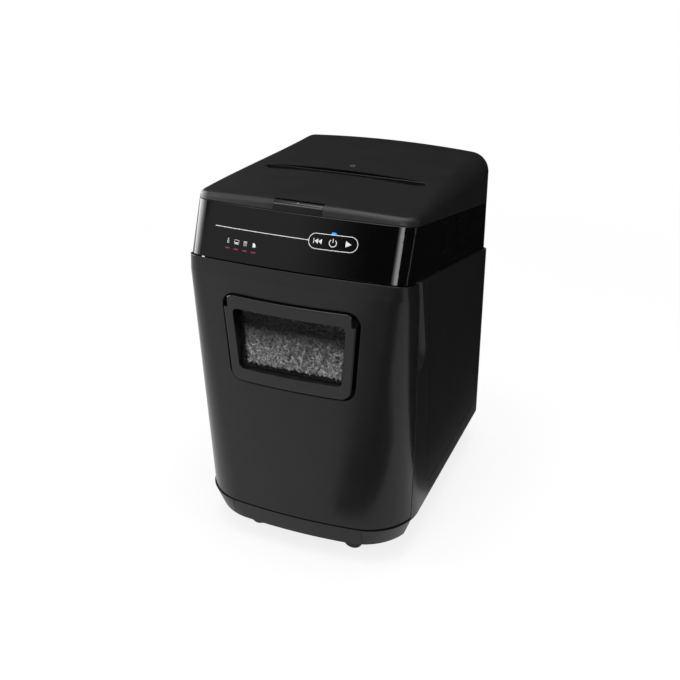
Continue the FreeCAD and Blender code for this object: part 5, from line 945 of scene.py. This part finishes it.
class SHREDDER_OT_stage(bpy.types.Operator):
    """Set the floor, the soft studio lights and the camera"""

    bl_idname = "shredder.stage"
    bl_label = "Studio"

    def execute(self, context):
        scene = context.scene
        scene.view_settings.view_transform = "Standard"
        self.floor(scene)
        self.cards(scene, "flags", BLACK_CARDS, self.black_card())
        for name, (corners, *shading) in SHADED_CARDS.items():
            self.cards(scene, name, (corners,), self.shaded_card(name, *shading))
        self.surround(scene)
        for name, lamp in LAMPS.items():
            self.soft_light(scene, name, getattr(scene.shredder_studio, name), *lamp)
        self.camera(scene)
        return {"FINISHED"}

    def floor(self, scene):
        """A pale floor that takes shadows near the object and melts into the white further off."""
        mesh = bpy.data.meshes.new("floor")
        mesh.from_pydata([(-30, -30, 0), (30, -30, 0), (30, 30, 0), (-30, 30, 0)], [], [(0, 1, 2, 3)])
        floor = bpy.data.objects.new("floor", mesh)
        scene.collection.objects.link(floor)
        nodes = shader("pale_floor")
        mist = nodes.noise(0.6, 2.0)
        lit = nodes.add("ShaderNodeBsdfDiffuse", {},
                        {"Color": nodes.tint(mist, (0.93, 0.93, 0.93, 1), (0.95, 0.95, 0.95, 1))})
        glow = nodes.add("ShaderNodeEmission", {}, {"Color": (1, 1, 1, 1), "Strength": 1.0})
        away = nodes.add("ShaderNodeVectorMath", {"operation": "LENGTH"}, {0: nodes.place()}, "Value")
        clear = nodes.ramp(away, 0.5, 1.6, 0.8, 1.0)
        mixed = nodes.add("ShaderNodeMixShader", {}, {0: nodes.seen() * clear, 1: lit, 2: glow})
        nodes.add("ShaderNodeOutputMaterial", {}, {"Surface": mixed})
        mesh.materials.append(nodes.owner)

    def cards(self, scene, name, cards, material):
        """Flat cards that only reflections show, and that cast no shadow."""
        mesh = bpy.data.meshes.new(name)
        mesh.from_pydata(sum(cards, ()), [], [tuple(range(4 * k, 4 * k + 4)) for k in range(len(cards))])
        piece = bpy.data.objects.new(name, mesh)
        scene.collection.objects.link(piece)
        piece.visible_camera = piece.visible_diffuse = False
        piece.visible_shadow = piece.visible_transmission = False
        mesh.materials.append(material)

    def black_card(self):
        """Dull black velvet."""
        nodes = shader("black_card")
        nap = nodes.noise(0.02, 2.0)
        return nodes.surface({
            "Base Color": nodes.tint(nap, (0.004, 0.004, 0.004, 1), (0.007, 0.007, 0.007, 1)),
            "Roughness": 1.0, "Specular IOR Level": 0.0})

    def shaded_card(self, name, axis, dark, bright, strength):
        """Glows most where the place along the axis is bright or beyond, and fades to black at dark."""
        nodes = shader(name)
        spot = nodes.add("ShaderNodeSeparateXYZ", {}, {"Vector": nodes.place()}, axis)
        rising = dark < bright
        glow = nodes.ramp(spot, min(dark, bright), max(dark, bright), float(not rising), float(rising))
        tone = nodes.tint(glow, (0, 0, 0, 1), (1, 1, 1, 1))
        nodes.add("ShaderNodeOutputMaterial", {},
                  {"Surface": nodes.add("ShaderNodeEmission", {}, {"Color": tone, "Strength": strength})})
        return nodes.owner

    def surround(self, scene):
        """Even light from all round, and plain white where a ray from the camera or a mirror ends."""
        world = bpy.data.worlds.new("studio")
        scene.world = world
        nodes = Shader(world)
        strength = scene.shredder_studio.surround
        even = nodes.add("ShaderNodeBackground", {}, {"Color": (1, 1, 1, 1), "Strength": strength})
        white = nodes.add("ShaderNodeBackground", {}, {"Color": (1, 1, 1, 1), "Strength": 1.0})
        mixed = nodes.add("ShaderNodeMixShader", {}, {0: nodes.seen(), 1: even, 2: white})
        nodes.add("ShaderNodeOutputWorld", {}, {"Surface": mixed})

    def soft_light(self, scene, name, power, place, target, width, height, mirrored):
        """A rectangular light that faces its target; reflections show it only where it is mirrored."""
        data = bpy.data.lights.new(name, "AREA")
        data.shape = "RECTANGLE"
        data.size, data.size_y = width, height
        data.energy = power
        light = bpy.data.objects.new(name, data)
        scene.collection.objects.link(light)
        light.visible_glossy = mirrored
        light.location = place
        light.rotation_euler = (Vector(target) - Vector(place)).to_track_quat("-Z", "Y").to_euler()

    def camera(self, scene):
        """Looks down from the front right."""
        data = bpy.data.cameras.new("camera")
        data.lens = CAMERA["lens"]
        data.sensor_width = 36
        data.clip_end = 200
        camera = bpy.data.objects.new("camera", data)
        scene.collection.objects.link(camera)
        yaw, pitch, roll = CAMERA["yaw"], CAMERA["pitch"], CAMERA["roll"]
        level = math.cos(pitch)
        ahead = Vector((-math.sin(yaw) * level, math.cos(yaw) * level, -math.sin(pitch)))
        right = ahead.cross(Vector((0, 0, 1))).normalized()
        above = right.cross(ahead)
        across = right * math.cos(roll) + above * math.sin(roll)
        upward = above * math.cos(roll) - right * math.sin(roll)
        turn = Matrix((across, upward, -ahead)).transposed().to_4x4()
        camera.matrix_world = Matrix.Translation(CAMERA["place"]) @ turn
        scene.camera = camera


class SHREDDER_PT_panel(bpy.types.Panel):
    """Lists the pieces and their settings"""

    bl_idname = "SHREDDER_PT_panel"
    bl_label = "Paper shredder"
    bl_space_type = "VIEW_3D"
    bl_region_type = "UI"
    bl_category = "Shredder"

    def draw(self, context):
        for operator in OPERATORS:
            self.layout.operator(operator.bl_idname)
        for group in (sizes(), colours(), context.scene.shredder_studio):
            box = self.layout.box()
            for name in group.bl_rna.properties.keys():
                if name not in ("rna_type", "name"):
                    box.prop(group, name)


GROUPS = (ShredderSizes, ShredderColours, StudioSettings)
OPERATORS = (SHREDDER_OT_finishes, SHREDDER_OT_shreds, SHREDDER_OT_key_marks, SHREDDER_OT_band_marks,
             SHREDDER_OT_lid_marks, SHREDDER_OT_slot_painted_shade, SHREDDER_OT_stage)
CLASSES = GROUPS + OPERATORS + (SHREDDER_PT_panel,)


def register():
    for item in CLASSES:
        bpy.utils.register_class(item)
    bpy.types.Scene.shredder_sizes = bpy.props.PointerProperty(type=ShredderSizes)
    bpy.types.Scene.shredder_colours = bpy.props.PointerProperty(type=ShredderColours)
    bpy.types.Scene.shredder_studio = bpy.props.PointerProperty(type=StudioSettings)


def unregister():
    del bpy.types.Scene.shredder_studio
    del bpy.types.Scene.shredder_colours
    del bpy.types.Scene.shredder_sizes
    for item in reversed(CLASSES):
        bpy.utils.unregister_class(item)


def main():
    register()
    bpy.ops.shredder.finishes()
    bpy.ops.shredder.shreds()
    bpy.ops.shredder.key_marks()
    bpy.ops.shredder.band_marks()
    bpy.ops.shredder.lid_marks()
    bpy.ops.shredder.slot_lining()
    bpy.ops.shredder.stage()


if __name__ == "__main__":
    main()
